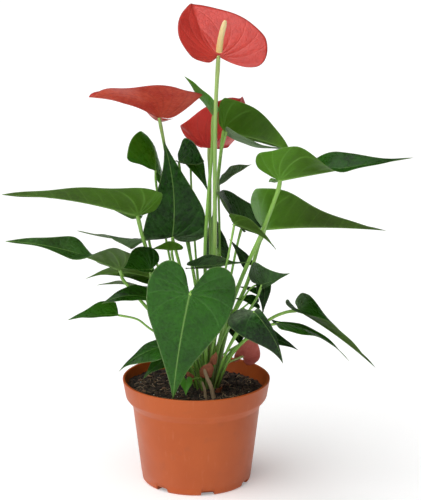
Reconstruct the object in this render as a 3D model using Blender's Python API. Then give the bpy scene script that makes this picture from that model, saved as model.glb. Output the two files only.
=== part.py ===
"""Potted anthurium: a nursery pot, its soil, three open flowers, one old flower and the leaves.

Metres, +Z up. The origin is the centre of the pot's underside, and the front is towards -Y.
Each leaf is a heart-shaped blade on its own petiole. Each flower is a stem, a spathe and a spadix.
"""

import math

import bmesh
import bpy
import numpy as np
from mathutils import Vector

MM = 0.001
GAP = 0.3 * MM
MERGE = 0.01 * MM

# The pot: a round nursery pot with a deep rim band and drainage notches round its foot.
POT_HEIGHT = 109 * MM
RIM_RADIUS = 76 * MM
BAND_DEPTH = 19 * MM
BAND_FOOT_RADIUS = 72.7 * MM
CHAMFER_DEPTH = 9 * MM
NECK_RADIUS = 65.7 * MM
FOOT_RADIUS = 56.4 * MM
WALL = 2 * MM
RIM_WALL = 2.6 * MM
FLOOR = 2.4 * MM
POT_STEPS = 60
NOTCHES = 7
NOTCH_WIDTH = 14 * MM
NOTCH_HEIGHT = 5 * MM
NOTCH_REACH = 47 * MM
NOTCH_TURN = math.radians(-39)

# The soil stands a finger's width below the rim.
SOIL_TOP = 99 * MM
SOIL_STEPS = 40

# Half of a leaf's outline for a leaf one unit long: along the midrib, out from the midrib.
# It starts at the junction with the petiole, goes round one basal lobe and ends at the tip.
LEAF_OUTLINE = (
    (0, 0), (-0.10, 0.03), (-0.20, 0.065), (-0.285, 0.115), (-0.32, 0.20),
    (-0.28, 0.285), (-0.17, 0.35), (-0.02, 0.385), (0.12, 0.375), (0.26, 0.335),
    (0.40, 0.26), (0.55, 0.175), (0.70, 0.10), (0.85, 0.042), (1, 0),
)
SPATHE_OUTLINE = (
    (0, 0), (-0.08, 0.05), (-0.18, 0.12), (-0.28, 0.22), (-0.32, 0.34),
    (-0.27, 0.46), (-0.15, 0.55), (0.02, 0.60), (0.22, 0.58), (0.42, 0.51),
    (0.62, 0.40), (0.78, 0.27), (0.90, 0.14), (0.97, 0.05), (1, 0),
)
HALF_WIDTH = 0.385
ROLL_START = 0.12
ROLL_LENGTH = 0.36
BLADE_THICKNESS = 0.9
SPATHE_THICKNESS = 1.1
BLADE_RINGS = 3
OUTLINE_POINTS = 11
EXTRA_STATIONS = 4
THICK_STALK = 1.7
THICK_SIDES = 8
THIN_SIDES = 6
STALK_TAPER = 0.8
SPADIX_STATIONS = 9
SPADIX_SIDES = 10

LEAF_GREEN = (0.035, 0.11, 0.022)
STALK_GREEN = (0.22, 0.42, 0.09)
SPATHE_RED = (0.70, 0.065, 0.05)

# Leaves. Places are in millimetres. junction is where the petiole meets the blade, tip is the
# blade's far end and face is the way its upper side looks. left and right widen the halves, and
# back_left and back_right lengthen the basal lobes. arch bows the midrib, as a part of its length,
# and sway bows it sideways. fold raises both halves, curl turns them down again towards the edge
# and twist turns the blade about its midrib from junction to tip, all in degrees. roll turns only
# its outer part. lift raises the lobes. stalk is the petiole's own points from the soil up, and
# radius is the petiole's radius at the soil.
LEAVES = (
    dict(name="front_leaf", junction=(-6, -82, 221), tip=(-23, -65, 107), face=(-0.06, -1, 0.14),
         left=1.03, right=0.98, back_left=0.88, back_right=0.82, arch=0.026, sway=-0.014, fold=-4,
         curl=-19, twist=3, lift=0.05, radius=1.8, stalk=((12, -23, 0), (10, -27, 130), (8, -43, 180),
                (3, -61, 214), (-3, -77, 223))),
    dict(name="upright_leaf", junction=(-24, 1, 258), tip=(-33, 14, 356), face=(-0.05, -1, 0.19),
         left=0.81, right=0.89, back_left=0.05, back_right=0.21, arch=0.035, sway=-0.058, fold=6,
         curl=-14, twist=2, lift=0.06, radius=1.8, stalk=((3, -2, 0), (2, -1, 130), (-8, 4, 180),
                (-19, 5, 236), (-23, 3, 251))),
    dict(name="long_left_leaf", junction=(-58, -33, 289), tip=(-189, -70, 319), face=(-0.02, 0.65, 1),
         left=0.93, right=0.41, back_left=0.36, back_right=0.19, arch=0.029, sway=0.037, fold=16,
         twist=-15, lift=0.65, radius=2.1, stalk=((-4, -12, 0), (-16, -12, 153), (-38, -28, 217),
                (-52, -32, 263), (-56, -33, 280))),
    dict(name="twisted_left_leaf", junction=(-77, -8, 226), tip=(-190, -32, 264), face=(-0.04, 0.5, 1),
         left=0.91, right=0.6, back_left=0.3, back_right=0.13, arch=0.052, sway=-0.02, fold=19,
         curl=-15, twist=1, roll=-51, lift=0.4, radius=1.8, stalk=((-8, 2, 0), (-22, -2, 129),
                (-50, -8, 168), (-71, -10, 212), (-75, -8, 220))),
    dict(name="mid_left_leaf", junction=(-50, -42, 207), tip=(-94, -44, 200), face=(-0.06, -0.13, 1),
         left=0.94, right=1.05, back_left=0.17, back_right=0.32, arch=0.12, sway=0.026, fold=14,
         curl=-5, twist=-38, radius=1.2, stalk=((-24, -16, 0), (-36, -18, 150), (-44, -23, 172),
                (-47, -31, 189), (-48, -39, 200))),
    dict(name="low_left_leaf", junction=(-79, -21, 182), tip=(-130, -27, 178), face=(-0.03, -0.12, 1),
         left=0.27, right=1.31, back_left=0.06, back_right=0.05, arch=0.04, sway=-0.008, fold=11,
         curl=-9, twist=-32, lift=0.14, radius=1.2, stalk=((-20, -6, 0), (-32, -14, 125),
                (-47, -20, 150), (-67, -23, 169), (-75, -22, 178))),
    dict(name="slim_top_leaf", junction=(18, 21, 379), tip=(-12, 33, 417), face=(-1, -0.02, 0.31),
         left=0.8, right=0.95, back_left=0.18, back_right=0.06, arch=-0.033, sway=-0.03, fold=-4,
         curl=-14, twist=26, lift=0.29, radius=1.9, stalk=((10, -9, 0), (10, -9, 180), (9, -8, 241),
                (11, 0, 281), (16, 17, 343), (17, 20, 372))),
    dict(name="upper_right_leaf", junction=(28, 23, 363), tip=(95, -14, 350), face=(0.55, 1, 0.45),
         left=0.25, right=1.25, back_left=0.06, back_right=0.22, arch=0.216, sway=0.146, fold=24,
         curl=-24, twist=-36, lift=0.07, radius=1.9, stalk=((22, 8, 0), (17, 8, 190), (18, 15, 273),
                (23, 20, 322), (27, 23, 356))),
    dict(name="long_right_leaf", junction=(83, -44, 328), tip=(215, -35, 346), face=(0.09, 0.63, 1),
         left=0.91, right=0.97, back_left=0.23, back_right=0.52, arch=0.003, sway=-0.032, fold=23,
         curl=-15, twist=2, roll=42, lift=0.75, radius=2.2, stalk=((25, -10, 0), (32, -15, 157),
                (40, -28, 207), (51, -38, 239), (66, -46, 276), (79, -45, 311), (82, -45, 321))),
    dict(name="pale_right_leaf", junction=(69, -9, 269), tip=(188, -47, 277), face=(-0.15, 0.97, 1),
         left=0.49, right=1.02, back_left=0.28, back_right=0.24, arch=0.009, sway=-0.039, fold=26,
         curl=2, twist=2, roll=8, lift=0.67, radius=2.1, stalk=((32, -4, 0), (40, -10, 165),
                (52, -12, 214), (63, -12, 253), (67, -10, 262))),
    dict(name="dark_inner_leaf", junction=(47, 33, 260), tip=(23, -14, 310), face=(0.46, -0.66, 1),
         left=0.26, right=1.45, back_left=0.07, back_right=1.21, arch=-0.063, sway=-0.061, fold=12,
         curl=-7, twist=28, lift=0.22, radius=1.4, stalk=((30, 8, 0), (33, 13, 179), (40, 26, 233),
                (45, 33, 253))),
    dict(name="small_right_leaf", junction=(66, -39, 219), tip=(93, -64, 238), face=(-0.26, -1, 0.42),
         left=1.51, right=0.25, back_left=1.41, back_right=0.08, arch=0.059, sway=-0.027, curl=1,
         twist=23, radius=1.3, stalk=((36, -14, 0), (46, -24, 140), (56, -33, 185), (61, -38, 205),
                (64, -38, 213))),
    dict(name="rim_right_leaf", junction=(58, -65, 199), tip=(87, -59, 143), face=(-0.17, -1, 0.34),
         left=0.25, right=1.2, back_left=0.06, back_right=0.41, arch=0.088, sway=0.073, fold=8,
         curl=-14, twist=-6, lift=0.05, radius=1.3, stalk=((31, -18, 0), (44, -39, 140), (54, -56, 181),
                (57, -63, 193))),
    dict(name="far_right_leaf", junction=(104, -24, 188), tip=(181, -42, 133), face=(0.32, -0.07, 1),
         left=0.83, right=0.79, back_left=0.3, back_right=0.54, arch=0.049, sway=-0.045, fold=20,
         curl=-9, twist=-43, lift=0.6, radius=1.8, stalk=((43, 4, 0), (52, 0, 130), (70, -4, 149),
                (89, -10, 173), (100, -20, 184))),
    dict(name="low_right_leaf", junction=(83, -45, 181), tip=(155, -39, 140), face=(0.3, 0.11, 1),
         left=0.3, right=1.02, back_left=0.3, back_right=0.3, arch=0.092, sway=0.063, fold=5, curl=-8,
         twist=15, lift=0.1, radius=1.5, stalk=((40, -8, 0), (57, -24, 136), (72, -36, 163),
                (79, -43, 174))),
    dict(name="rear_left_leaf", junction=(-49, 36, 246), tip=(-126, 77, 244), face=(0.1, 0.35, 1),
         left=0.8, back_left=0.5, back_right=0.5, arch=0.06, fold=5, radius=1.4, joined=True,
         stalk=((-2, 17, 0), (-8, 17, 131), (-29, 26, 183), (-45, 33, 232))),
    dict(name="sheltered_leaf", junction=(-24, -28, 252), tip=(-45, -30, 253), face=(0, 1, 0.45),
         left=1.3, right=0.2, back_left=1.6, back_right=0.2, radius=1.3, joined=True,
         stalk=((4, -20, 0), (-4, -17, 130), (-14, -22, 190), (-23, -28, 242))),
    dict(name="round_left_leaf", junction=(-45, -50, 238), tip=(-71, -83, 249), face=(-0.1, -0.9, 0.4),
         left=0.4, right=1.6, back_left=0.8, back_right=0.8, twist=4, radius=1.2, joined=True,
         stalk=((-8, -20, 0), (-12, -26, 130), (-22, -32, 170), (-37, -42, 204), (-44, -49, 227))),
    dict(name="narrow_left_leaf", junction=(-48, 36, 206), tip=(-116, 53, 200), face=(-0.07, 0.75, 1),
         left=1.02, right=0.96, back_left=0.35, back_right=0.43, arch=0.087, sway=-0.009, fold=5,
         curl=-11, twist=9, lift=0.13, radius=1.3, joined=True, stalk=((-11, 12, 0), (-20, 24, 140),
                (-36, 32, 180), (-44, 35, 199))),
    dict(name="lower_narrow_leaf", junction=(-49, 53, 187), tip=(-105, 67, 187), face=(0.1, 0.23, 1),
         left=1.1, right=0.91, back_left=0.3, back_right=0.31, sway=0.018, curl=-16, twist=24,
         lift=0.08, radius=1.2, joined=True, stalk=((-9, 25, 0), (-23, 40, 138), (-39, 50, 175))),
    dict(name="rim_left_leaf", junction=(-32, -49, 158), tip=(-78, -47, 130), face=(-0.2, -0.35, 1),
         left=0.97, right=0.6, back_left=0.38, back_right=0.15, arch=0.097, sway=0.006, fold=4, curl=-4,
         twist=-22, lift=0.05, radius=1.2, joined=True, stalk=((-22, -27, 0), (-24, -36, 121),
                (-29, -46, 146))),
    dict(name="sprout_leaf", junction=(-10, -52, 122), tip=(-10, -60, 109), face=(0, -1, 0.4), left=1.1,
         right=1.1, thickness=0.5, radius=0.7, joined=True, stalk=((-7, -46, 0), (-8, -48, 110),
                (-9, -51, 119))),
    dict(name="upper_left_leaf", junction=(-41, 14, 324), tip=(-57, 97, 339), face=(0.65, -1, 0.21),
         left=1.02, right=1, back_left=0.15, back_right=0.25, arch=0.132, sway=0.088, fold=-8, curl=-22,
         twist=21, lift=0.03, radius=1.3, joined=True, stalk=((-3, 7, 0), (-5, 12, 130), (-20, 15, 193),
                (-33, 18, 262), (-40, 16, 305))),
    dict(name="folded_leaf", junction=(-18, 51, 325), tip=(9, 6, 335), face=(0.4, -0.8, 0.3), left=1.2,
         right=0.4, back_left=0.8, back_right=0.2, radius=1.3, joined=True, stalk=((7, 14, 0),
                (4, 24, 150), (-6, 38, 229), (-16, 50, 309))),
    dict(name="lower_inner_leaf", junction=(38, -48, 284), tip=(79, -77, 265), face=(0.56, 0.96, 1),
         left=0.27, right=0.9, back_left=0.16, back_right=0.23, arch=0.105, sway=0.035, fold=12,
         curl=-23, twist=-12, lift=0.2, radius=1.2, joined=True, stalk=((17, -14, 0), (20, -34, 150),
                (27, -56, 226), (34, -55, 263), (37, -50, 278))),
    dict(name="spear_leaf", junction=(23, 38, 304), tip=(56, 13, 331), face=(-0.31, -0.22, 1),
         left=0.95, right=0.51, back_left=0.15, back_right=0.15, arch=0.001, sway=0.064, fold=9, curl=5,
         twist=34, lift=0.02, radius=1.3, joined=True, stalk=((25, 17, 0), (24, 31, 199), (23, 38, 289))),
    dict(name="glossy_middle_leaf", junction=(1, -33, 236), tip=(53, -56, 247), face=(0.11, -0.13, 1),
         left=0.94, right=0.84, back_left=0.88, back_right=0.4, arch=0.015, sway=-0.052, fold=3,
         curl=15, twist=11, lift=0.03, radius=1.3, joined=True, stalk=((10, -20, 0), (7, -26, 169),
                (2, -31, 224))),
    dict(name="rear_upright_leaf", junction=(22, 42, 235), tip=(19, 52, 275), face=(-0.6, -0.8, 0),
         radius=1.3, joined=True, stalk=((20, 26, 0), (22, 32, 150), (22, 40, 222))),
    dict(name="rear_rim_leaf", junction=(42, 30, 163), tip=(46, 42, 128), face=(-0.2, -0.8, 0.5),
         radius=1.2, joined=True, stalk=((34, 16, 0), (37, 21, 140), (40, 27, 158))),
)

# Flowers, in the same terms, with the spadix as its own points from the junction up.
FLOWERS = (
    dict(name="top_flower", junction=(22, -16, 446), tip=(-4, 24, 492), face=(0.47, -1, 0.65),
         left=0.95, right=1.29, back_left=0.34, back_right=1.15, arch=0.037, sway=0.089, fold=12,
         curl=9, twist=6, radius=2.2, stalk=((18, 0, 0), (18, -1, 138), (18, -3, 193), (19, -4, 243),
                (19, -2, 297), (19, -6, 349), (20, -11, 401), (22, -16, 440)), spadix=((23, -23, 452),
                (25, -31, 468), (29, -39, 485)), spadix_radius=3.1),
    dict(name="left_flower", junction=(-37, 12, 379), tip=(-106, -5, 404), face=(0.12, 0.58, 1),
         left=1.17, right=0.9, back_left=1.37, back_right=0.91, arch=0.037, sway=0.054, fold=27,
         curl=-11, twist=-20, lift=0.4, radius=1.8, stalk=((10, 3, 0), (7, 6, 148), (0, 10, 200),
                (-9, 16, 248), (-20, 22, 285), (-29, 23, 331), (-33, 19, 355), (-36, 13, 373)),
         spadix=((-41, 16, 385), (-51, 21, 393), (-63, 25, 397)), spadix_radius=2.6),
    dict(name="right_flower", junction=(13, 51, 339), tip=(46, 28, 397), face=(-0.18, 1, 0.21),
         left=0.76, right=0.92, back_left=0.05, back_right=0.34, arch=-0.019, sway=0.078, fold=31,
         curl=7, twist=8, lift=0.05, radius=1.8, stalk=((17, 18, 0), (15, 22, 199), (14, 32, 266),
                (14, 44, 307), (13, 50, 332)), spadix=((15, 61, 346), (19, 68, 358), (24, 72, 371)),
         spadix_radius=2.6),
)
OLD_FLOWER = dict(name="old_flower", junction=(48, 13, 127), tip=(58, 8, 151), face=(0.3, -1, 0.35),
                  left=0.56,
     right=1.1, back_left=1.1, back_right=1.05, arch=0.024, fold=3, curl=-9, twist=-17, lift=0.03,
     radius=1.3, stalk=((26, 2, 0), (37, 6, 111), (45, 11, 123)))
ROOTS = (
    dict(name="upper_root", radius=2.4, points=((19, -42, 0), (16, -42, 110), (11, -41, 122),
                (8, -38, 131))),
    dict(name="lower_root", radius=1.8, points=((10, -44, 0), (9, -43, 108), (6, -41, 118))),
)


def clear_scene():
    for obj in list(bpy.data.objects):
        bpy.data.objects.remove(obj, do_unlink=True)


def material(name, colour, roughness, metallic=0.0):
    made = bpy.data.materials.new(name)
    made.use_nodes = True
    shader = made.node_tree.nodes["Principled BSDF"]
    shader.inputs["Base Color"].default_value = (*colour, 1)
    shader.inputs["Roughness"].default_value = roughness
    shader.inputs["Metallic"].default_value = metallic
    return made


def new_object(name, verts, faces, mat):
    mesh = bpy.data.meshes.new(name)
    mesh.from_pydata([tuple(v) for v in verts], [], faces)
    mesh.shade_smooth()
    mesh.materials.append(mat)
    obj = bpy.data.objects.new(name, mesh)
    bpy.context.scene.collection.objects.link(obj)
    return obj


def hide_helper(obj):
    obj.hide_render = True
    obj.display_type = "WIRE"


def face_outwards(obj):
    edit = bmesh.new()
    edit.from_mesh(obj.data)
    bmesh.ops.recalc_face_normals(edit, faces=edit.faces)
    edit.to_mesh(obj.data)
    edit.free()


def smooth_points(points, count):
    """Evenly spaced stations on a Catmull-Rom curve through the points."""
    given = np.array(points, float)
    ends = np.vstack([2 * given[0] - given[1], given, 2 * given[-1] - given[-2]])
    spans = len(given) - 1
    found = []
    for station in np.linspace(0, spans, count):
        i = min(int(station), spans - 1)
        t = station - i
        a, b, c, d = ends[i:i + 4]
        found.append(0.5 * (2 * b + (c - a) * t + (2 * a - 5 * b + 4 * c - d) * t**2
                            + (3 * b - a - 3 * c + d) * t**3))
    return np.array(found)


def outline_points(half, row):
    """Both halves of a blade's outline in unit terms, from one side of the sinus round to the other."""
    side = smooth_points(half[1:], OUTLINE_POINTS)
    left = side * (1, row.get("left", 1))
    right = side[::-1][1:] * (1, -row.get("right", 1))
    rim = np.vstack([left, right])
    lobe = np.where(rim[:, 1] > 0, row.get("back_left", 1), row.get("back_right", 1))
    rim[:, 0] *= np.where(rim[:, 0] < 0, lobe, 1)
    return rim


def bend(flat, row):
    """Places flat outline points, in unit terms, on the blade's folded, arched and twisted surface."""
    along, across = flat[:, 0], flat[:, 1]
    out = np.abs(across)
    start = math.radians(row.get("fold", 10))
    rate = math.radians(row.get("curl", -10)) / HALF_WIDTH
    over = (np.sin(start + rate * out) - math.sin(start)) / rate * np.sign(across)
    rise = (math.cos(start) - np.cos(start + rate * out)) / rate
    turn = math.radians(row.get("twist", 0)) * along
    late = np.clip((along - ROLL_START) / ROLL_LENGTH, 0, 1)
    turn += math.radians(row.get("roll", 0)) * late * late * (3 - 2 * late)
    side = over * np.cos(turn) - rise * np.sin(turn)
    up = over * np.sin(turn) + rise * np.cos(turn)
    bow = np.where(along > 0, 4 * along * (1 - along), 0)
    behind = np.where(along < 0, along, 0)
    up += row.get("arch", 0.08) * (bow + 4 * behind) + row.get("lift", 0) * 3 * behind**2
    side += row.get("sway", 0) * (bow + 2 * behind)
    return np.stack([along, side, up], 1)


def blade(name, row, half, thickness, mat):
    junction = Vector(row["junction"]) * MM
    tip = Vector(row["tip"]) * MM
    length = (tip - junction).length
    ahead = (tip - junction).normalized()
    upper = Vector(row["face"])
    upper = (upper - upper.dot(ahead) * ahead).normalized()
    axes = np.array([ahead, upper.cross(ahead), upper])
    rim = outline_points(half, row)
    count = len(rim)
    verts = [np.array(junction)]
    for ring in range(1, BLADE_RINGS + 1):
        verts.extend(np.array(junction) + length * bend(rim * ring / BLADE_RINGS, row) @ axes)
    faces = [(0, i + 2, i + 1) for i in range(count - 1)]
    for ring in range(BLADE_RINGS - 1):
        first = 1 + ring * count
        for i in range(first, first + count - 1):
            faces.append((i, i + 1, i + 1 + count, i + count))
    obj = new_object(name, verts, [face[::-1] for face in faces], mat)
    face_outwards(obj)
    solid = obj.modifiers.new("Thickness", "SOLIDIFY")
    solid.thickness = row.get("thickness", thickness) * MM
    solid.offset = 0
    return obj


def tube(name, path, radii, sides, mat, start=None):
    """A closed round tube along the path, with one radius for each station. start squares its foot."""
    verts, faces = [], []
    across = Vector((1, 0, 0))
    for i, centre in enumerate(path):
        before, after = path[max(i - 1, 0)], path[min(i + 1, len(path) - 1)]
        ahead = start if start and i == 0 else Vector(after - before).normalized()
        across = (across - across.dot(ahead) * ahead).normalized()
        other = ahead.cross(across)
        for side in range(sides):
            turn = 2 * math.pi * side / sides
            spoke = math.cos(turn) * across + math.sin(turn) * other
            verts.append(Vector(centre) + float(radii[i]) * spoke)
    for i in range(len(path) - 1):
        for side in range(sides):
            beside = (side + 1) % sides
            faces.append((i * sides + side, i * sides + beside,
                          (i + 1) * sides + beside, (i + 1) * sides + side))
    faces.append(tuple(range(sides))[::-1])
    faces.append(tuple((len(path) - 1) * sides + side for side in range(sides)))
    return new_object(name, verts, faces, mat)


def stalk(name, points, radius, mat, reach=None):
    """A stalk that stands on the soil and narrows upwards, or runs on into the blade at reach."""
    route = [(x, y, z or (SOIL_TOP + GAP) / MM) for x, y, z in points]
    if reach is not None:
        route.append(reach)
    stations = len(route) + EXTRA_STATIONS
    path = smooth_points(route, stations) * MM
    radii = np.linspace(radius, STALK_TAPER * radius, stations) * MM
    sides = THICK_SIDES if radius > THICK_STALK else THIN_SIDES
    return tube(name, path, radii, sides, mat, Vector((0, 0, 1)))


def spadix(name, row, mat):
    """A blunt rod that rounds off at its tip."""
    path = smooth_points(row["spadix"], SPADIX_STATIONS) * MM
    along = np.linspace(0, 1, SPADIX_STATIONS)
    radii = row["spadix_radius"] * MM * np.sqrt(np.clip(1 - (1.04 * along - 0.08)**6, 0.12, 1))
    return tube(name, path, radii, SPADIX_SIDES, mat)


def turned(name, profile, steps, mat):
    """A shape turned about Z from its profile in the XZ plane, which runs down its outer side."""
    verts = [(x, 0, z) for x, z in profile]
    mesh = bpy.data.meshes.new(name)
    mesh.from_pydata(verts, [(i, i + 1) for i in range(len(verts) - 1)], [])
    mesh.materials.append(mat)
    obj = bpy.data.objects.new(name, mesh)
    bpy.context.scene.collection.objects.link(obj)
    screw = obj.modifiers.new("Turn", "SCREW")
    screw.steps = screw.render_steps = steps
    screw.use_merge_vertices = True
    screw.merge_threshold = MERGE
    screw.use_smooth_shade = True
    return obj


def notch_cutters():
    verts, faces = [], []
    corners = ((0, 1, 2, 3), (7, 6, 5, 4), (0, 4, 5, 1), (1, 5, 6, 2), (2, 6, 7, 3), (3, 7, 4, 0))
    for notch in range(NOTCHES):
        turn = NOTCH_TURN + 2 * math.pi * notch / NOTCHES
        out = Vector((math.sin(turn), -math.cos(turn), 0))
        beside = Vector((out.y, -out.x, 0)) * NOTCH_WIDTH / 2
        first = len(verts)
        for z in (NOTCH_HEIGHT, -NOTCH_HEIGHT):
            up = Vector((0, 0, z))
            near, far = out * NOTCH_REACH, out * RIM_RADIUS
            verts.extend([near - beside + up, near + beside + up, far + beside + up, far - beside + up])
        faces.extend(tuple(first + c for c in corner) for corner in corners)
    mesh = bpy.data.meshes.new("notch_cutters")
    mesh.from_pydata(verts, [], faces)
    obj = bpy.data.objects.new("notch_cutters", mesh)
    bpy.context.scene.collection.objects.link(obj)
    face_outwards(obj)
    hide_helper(obj)
    return obj


def build_pot():
    neck = POT_HEIGHT - BAND_DEPTH - CHAMFER_DEPTH
    band_foot = POT_HEIGHT - BAND_DEPTH
    profile = (
        (0, FLOOR),
        (FOOT_RADIUS - 2 * WALL, FLOOR),
        (FOOT_RADIUS - WALL, FLOOR + WALL),
        (NECK_RADIUS - WALL, neck + WALL / 2),
        (BAND_FOOT_RADIUS - RIM_WALL, band_foot + WALL / 2),
        (RIM_RADIUS - RIM_WALL, POT_HEIGHT - WALL / 2),
        (RIM_RADIUS - RIM_WALL + WALL / 4, POT_HEIGHT),
        (RIM_RADIUS - WALL / 4, POT_HEIGHT),
        (RIM_RADIUS, POT_HEIGHT - WALL / 2),
        (BAND_FOOT_RADIUS, band_foot),
        (NECK_RADIUS, neck),
        (FOOT_RADIUS, WALL),
        (FOOT_RADIUS - WALL, 0),
        (0, 0),
    )
    pot = turned("pot", profile, POT_STEPS, material("terracotta plastic", (0.50, 0.145, 0.05), 0.42))
    cut = pot.modifiers.new("Drainage notches", "BOOLEAN")
    cut.operation = "DIFFERENCE"
    cut.object = notch_cutters()


def build_soil():
    neck = POT_HEIGHT - BAND_DEPTH - CHAMFER_DEPTH
    band_foot = POT_HEIGHT - BAND_DEPTH
    slack = WALL + 2 * GAP
    rim_slack = RIM_WALL + 2 * GAP
    grow = (RIM_RADIUS - BAND_FOOT_RADIUS) / BAND_DEPTH
    foot = FLOOR + WALL
    profile = (
        (0, SOIL_TOP),
        (BAND_FOOT_RADIUS - rim_slack + grow * (SOIL_TOP - band_foot), SOIL_TOP),
        (BAND_FOOT_RADIUS - rim_slack, band_foot + WALL / 2),
        (NECK_RADIUS - slack, neck + WALL / 2),
        (FOOT_RADIUS - slack, foot + WALL),
        (FOOT_RADIUS - slack - WALL, foot - WALL + GAP),
        (0, foot - WALL + GAP),
    )
    turned("soil", profile, SOIL_STEPS, material("potting soil", (0.02, 0.012, 0.008), 0.95))


def build_leaf(row, blade_mat, stalk_mat):
    if row.get("joined"):
        obj = blade(row["name"], row, LEAF_OUTLINE, BLADE_THICKNESS, blade_mat)
        petiole = stalk(row["name"] + "_petiole", row["stalk"], row["radius"], stalk_mat, row["junction"])
        hide_helper(petiole)
        join = obj.modifiers.new("Petiole", "BOOLEAN")
        join.operation = "UNION"
        join.object = petiole
    else:
        blade(row["name"] + "_blade", row, LEAF_OUTLINE, BLADE_THICKNESS, blade_mat)
        stalk(row["name"] + "_petiole", row["stalk"], row["radius"], stalk_mat)


def build_flower(row, spathe_mat, stalk_mat, spadix_mat):
    blade(row["name"] + "_spathe", row, SPATHE_OUTLINE, SPATHE_THICKNESS, spathe_mat)
    stalk(row["name"] + "_stem", row["stalk"], row["radius"], stalk_mat)
    if "spadix" in row:
        spadix(row["name"] + "_spadix", row, spadix_mat)


def main():
    clear_scene()
    leaf_mat = material("leaf", LEAF_GREEN, 0.35)
    stalk_mat = material("petiole", STALK_GREEN, 0.4)
    stem_mat = material("flower stem", (0.25, 0.38, 0.09), 0.4)
    spathe_mat = material("spathe", SPATHE_RED, 0.35)
    faded_mat = material("faded spathe", (0.50, 0.14, 0.11), 0.5)
    spadix_mat = material("spadix", (0.90, 0.72, 0.24), 0.55)
    root_mat = material("root", (0.45, 0.35, 0.22), 0.8)
    build_pot()
    build_soil()
    for row in LEAVES:
        build_leaf(row, leaf_mat, stalk_mat)
    for row in FLOWERS:
        build_flower(row, spathe_mat, stem_mat, spadix_mat)
    build_flower(OLD_FLOWER, faded_mat, stem_mat, spadix_mat)
    for row in ROOTS:
        stalk(row["name"], row["points"], row["radius"], root_mat)


main()
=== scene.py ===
"""Looks of the potted anthurium: veined leaves, waxy spathes, a moulded pot and loose soil.

Metres, +Z up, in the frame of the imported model. Rows of shape are in millimetres.
"""

import math

import bpy
import numpy as np
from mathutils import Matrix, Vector, noise


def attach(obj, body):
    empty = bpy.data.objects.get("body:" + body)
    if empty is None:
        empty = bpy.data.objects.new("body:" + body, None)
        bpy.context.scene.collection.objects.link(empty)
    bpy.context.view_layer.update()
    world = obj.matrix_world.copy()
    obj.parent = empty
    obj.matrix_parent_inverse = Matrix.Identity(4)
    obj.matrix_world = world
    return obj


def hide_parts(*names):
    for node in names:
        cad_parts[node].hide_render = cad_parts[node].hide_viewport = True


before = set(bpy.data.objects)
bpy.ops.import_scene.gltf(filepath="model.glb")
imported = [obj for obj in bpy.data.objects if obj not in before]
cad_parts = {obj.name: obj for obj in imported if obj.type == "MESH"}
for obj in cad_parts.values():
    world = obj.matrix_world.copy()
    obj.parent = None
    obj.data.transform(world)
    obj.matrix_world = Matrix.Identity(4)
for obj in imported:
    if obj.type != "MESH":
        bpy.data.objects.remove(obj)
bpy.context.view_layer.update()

MM = 0.001

# The pot, as in the CAD.
POT_HEIGHT = 109 * MM
RIM_RADIUS = 76 * MM
BAND_DEPTH = 19 * MM
BAND_FOOT_RADIUS = 72.7 * MM
CHAMFER_DEPTH = 9 * MM
NECK_RADIUS = 65.7 * MM
FOOT_RADIUS = 56.4 * MM
WALL = 2 * MM
RIM_WALL = 2.6 * MM
FLOOR = 2.4 * MM
NOTCHES = 7
NOTCH_WIDTH = 14 * MM
NOTCH_HEIGHT = 5 * MM
NOTCH_REACH = 47 * MM
NOTCH_TURN = math.radians(-39)
NOTCH_OUTLINE = (
    (-0.5, -1), (0.5, -1), (0.5, 0.72), (0.42, 0.92), (0.3, 1), (-0.3, 1), (-0.42, 0.92), (-0.5, 0.72),
)
MOULD_LINE = 9.5 * MM

# Half outlines of a blade one unit long: along the midrib, out from the midrib.
LEAF_OUTLINE = (
    (0, 0), (-0.10, 0.03), (-0.20, 0.065), (-0.285, 0.115), (-0.32, 0.20),
    (-0.28, 0.285), (-0.17, 0.35), (-0.02, 0.385), (0.12, 0.375), (0.26, 0.335),
    (0.40, 0.26), (0.55, 0.175), (0.70, 0.10), (0.85, 0.042), (1, 0),
)
SPATHE_OUTLINE = (
    (0, 0), (-0.08, 0.05), (-0.18, 0.12), (-0.28, 0.22), (-0.32, 0.34),
    (-0.27, 0.46), (-0.15, 0.55), (0.02, 0.60), (0.22, 0.58), (0.42, 0.51),
    (0.62, 0.40), (0.78, 0.27), (0.90, 0.14), (0.97, 0.05), (1, 0),
)
HALF_WIDTH = 0.385
ROLL_START = 0.12
ROLL_LENGTH = 0.36
LEAF_THICKNESS = 0.45
SPATHE_THICKNESS = 0.6

# Relief of a blade, as parts of its length: the swelling between veins, and the midrib's keel.
QUILT = 0.007
KEEL = 0.011
WAVE = 0.012
FLOWER_SEED = 50
OLD_FLOWER_SEED = 60

# Veins, in the outline's unit terms. A side vein leaves the midrib every SIDE_VEIN_SPACING. The
# basal veins fan out from the junction, with so many radians between them, and sweep round.
SIDE_VEIN_SPACING = 0.125
SIDE_VEIN_SLANT = 0.62
SIDE_VEIN_BOW = 0.5
BASAL_VEIN_TURN = 0.46
BASAL_VEIN_SWEEP = 1.1
BASAL_VEIN_OFFSET = 0.02
SPATHE_VEIN_TURN = 0.36
SPATHE_VEIN_SWEEP = 0.9
SPATHE_VEIN_OFFSET = 0.15
NEVER_ZERO = 0.000001

# Stalks start inside the soil. Below CROWN_REACH they are drawn in towards the crown.
STALK_FOOT = 90.0
STALK_KNEE = 0.14
SOIL_TOP = 99
CROWN = (11, -22)
CROWN_PULL = 0.8
CROWN_REACH = 200

# How far from the pot's axis the loose pieces and the fibres lie on the soil.
LITTER_REACH = 68.0
FIBRE_REACH = 66
FIBRE_TURN_BACK = 69

CAMERA_PLACE = (0.0146, -2.070, 0.803)
CAMERA_TILT = math.radians(74.9)
CAMERA_LENS = 152.3
STUDIO_SIZE = 14.0

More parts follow.
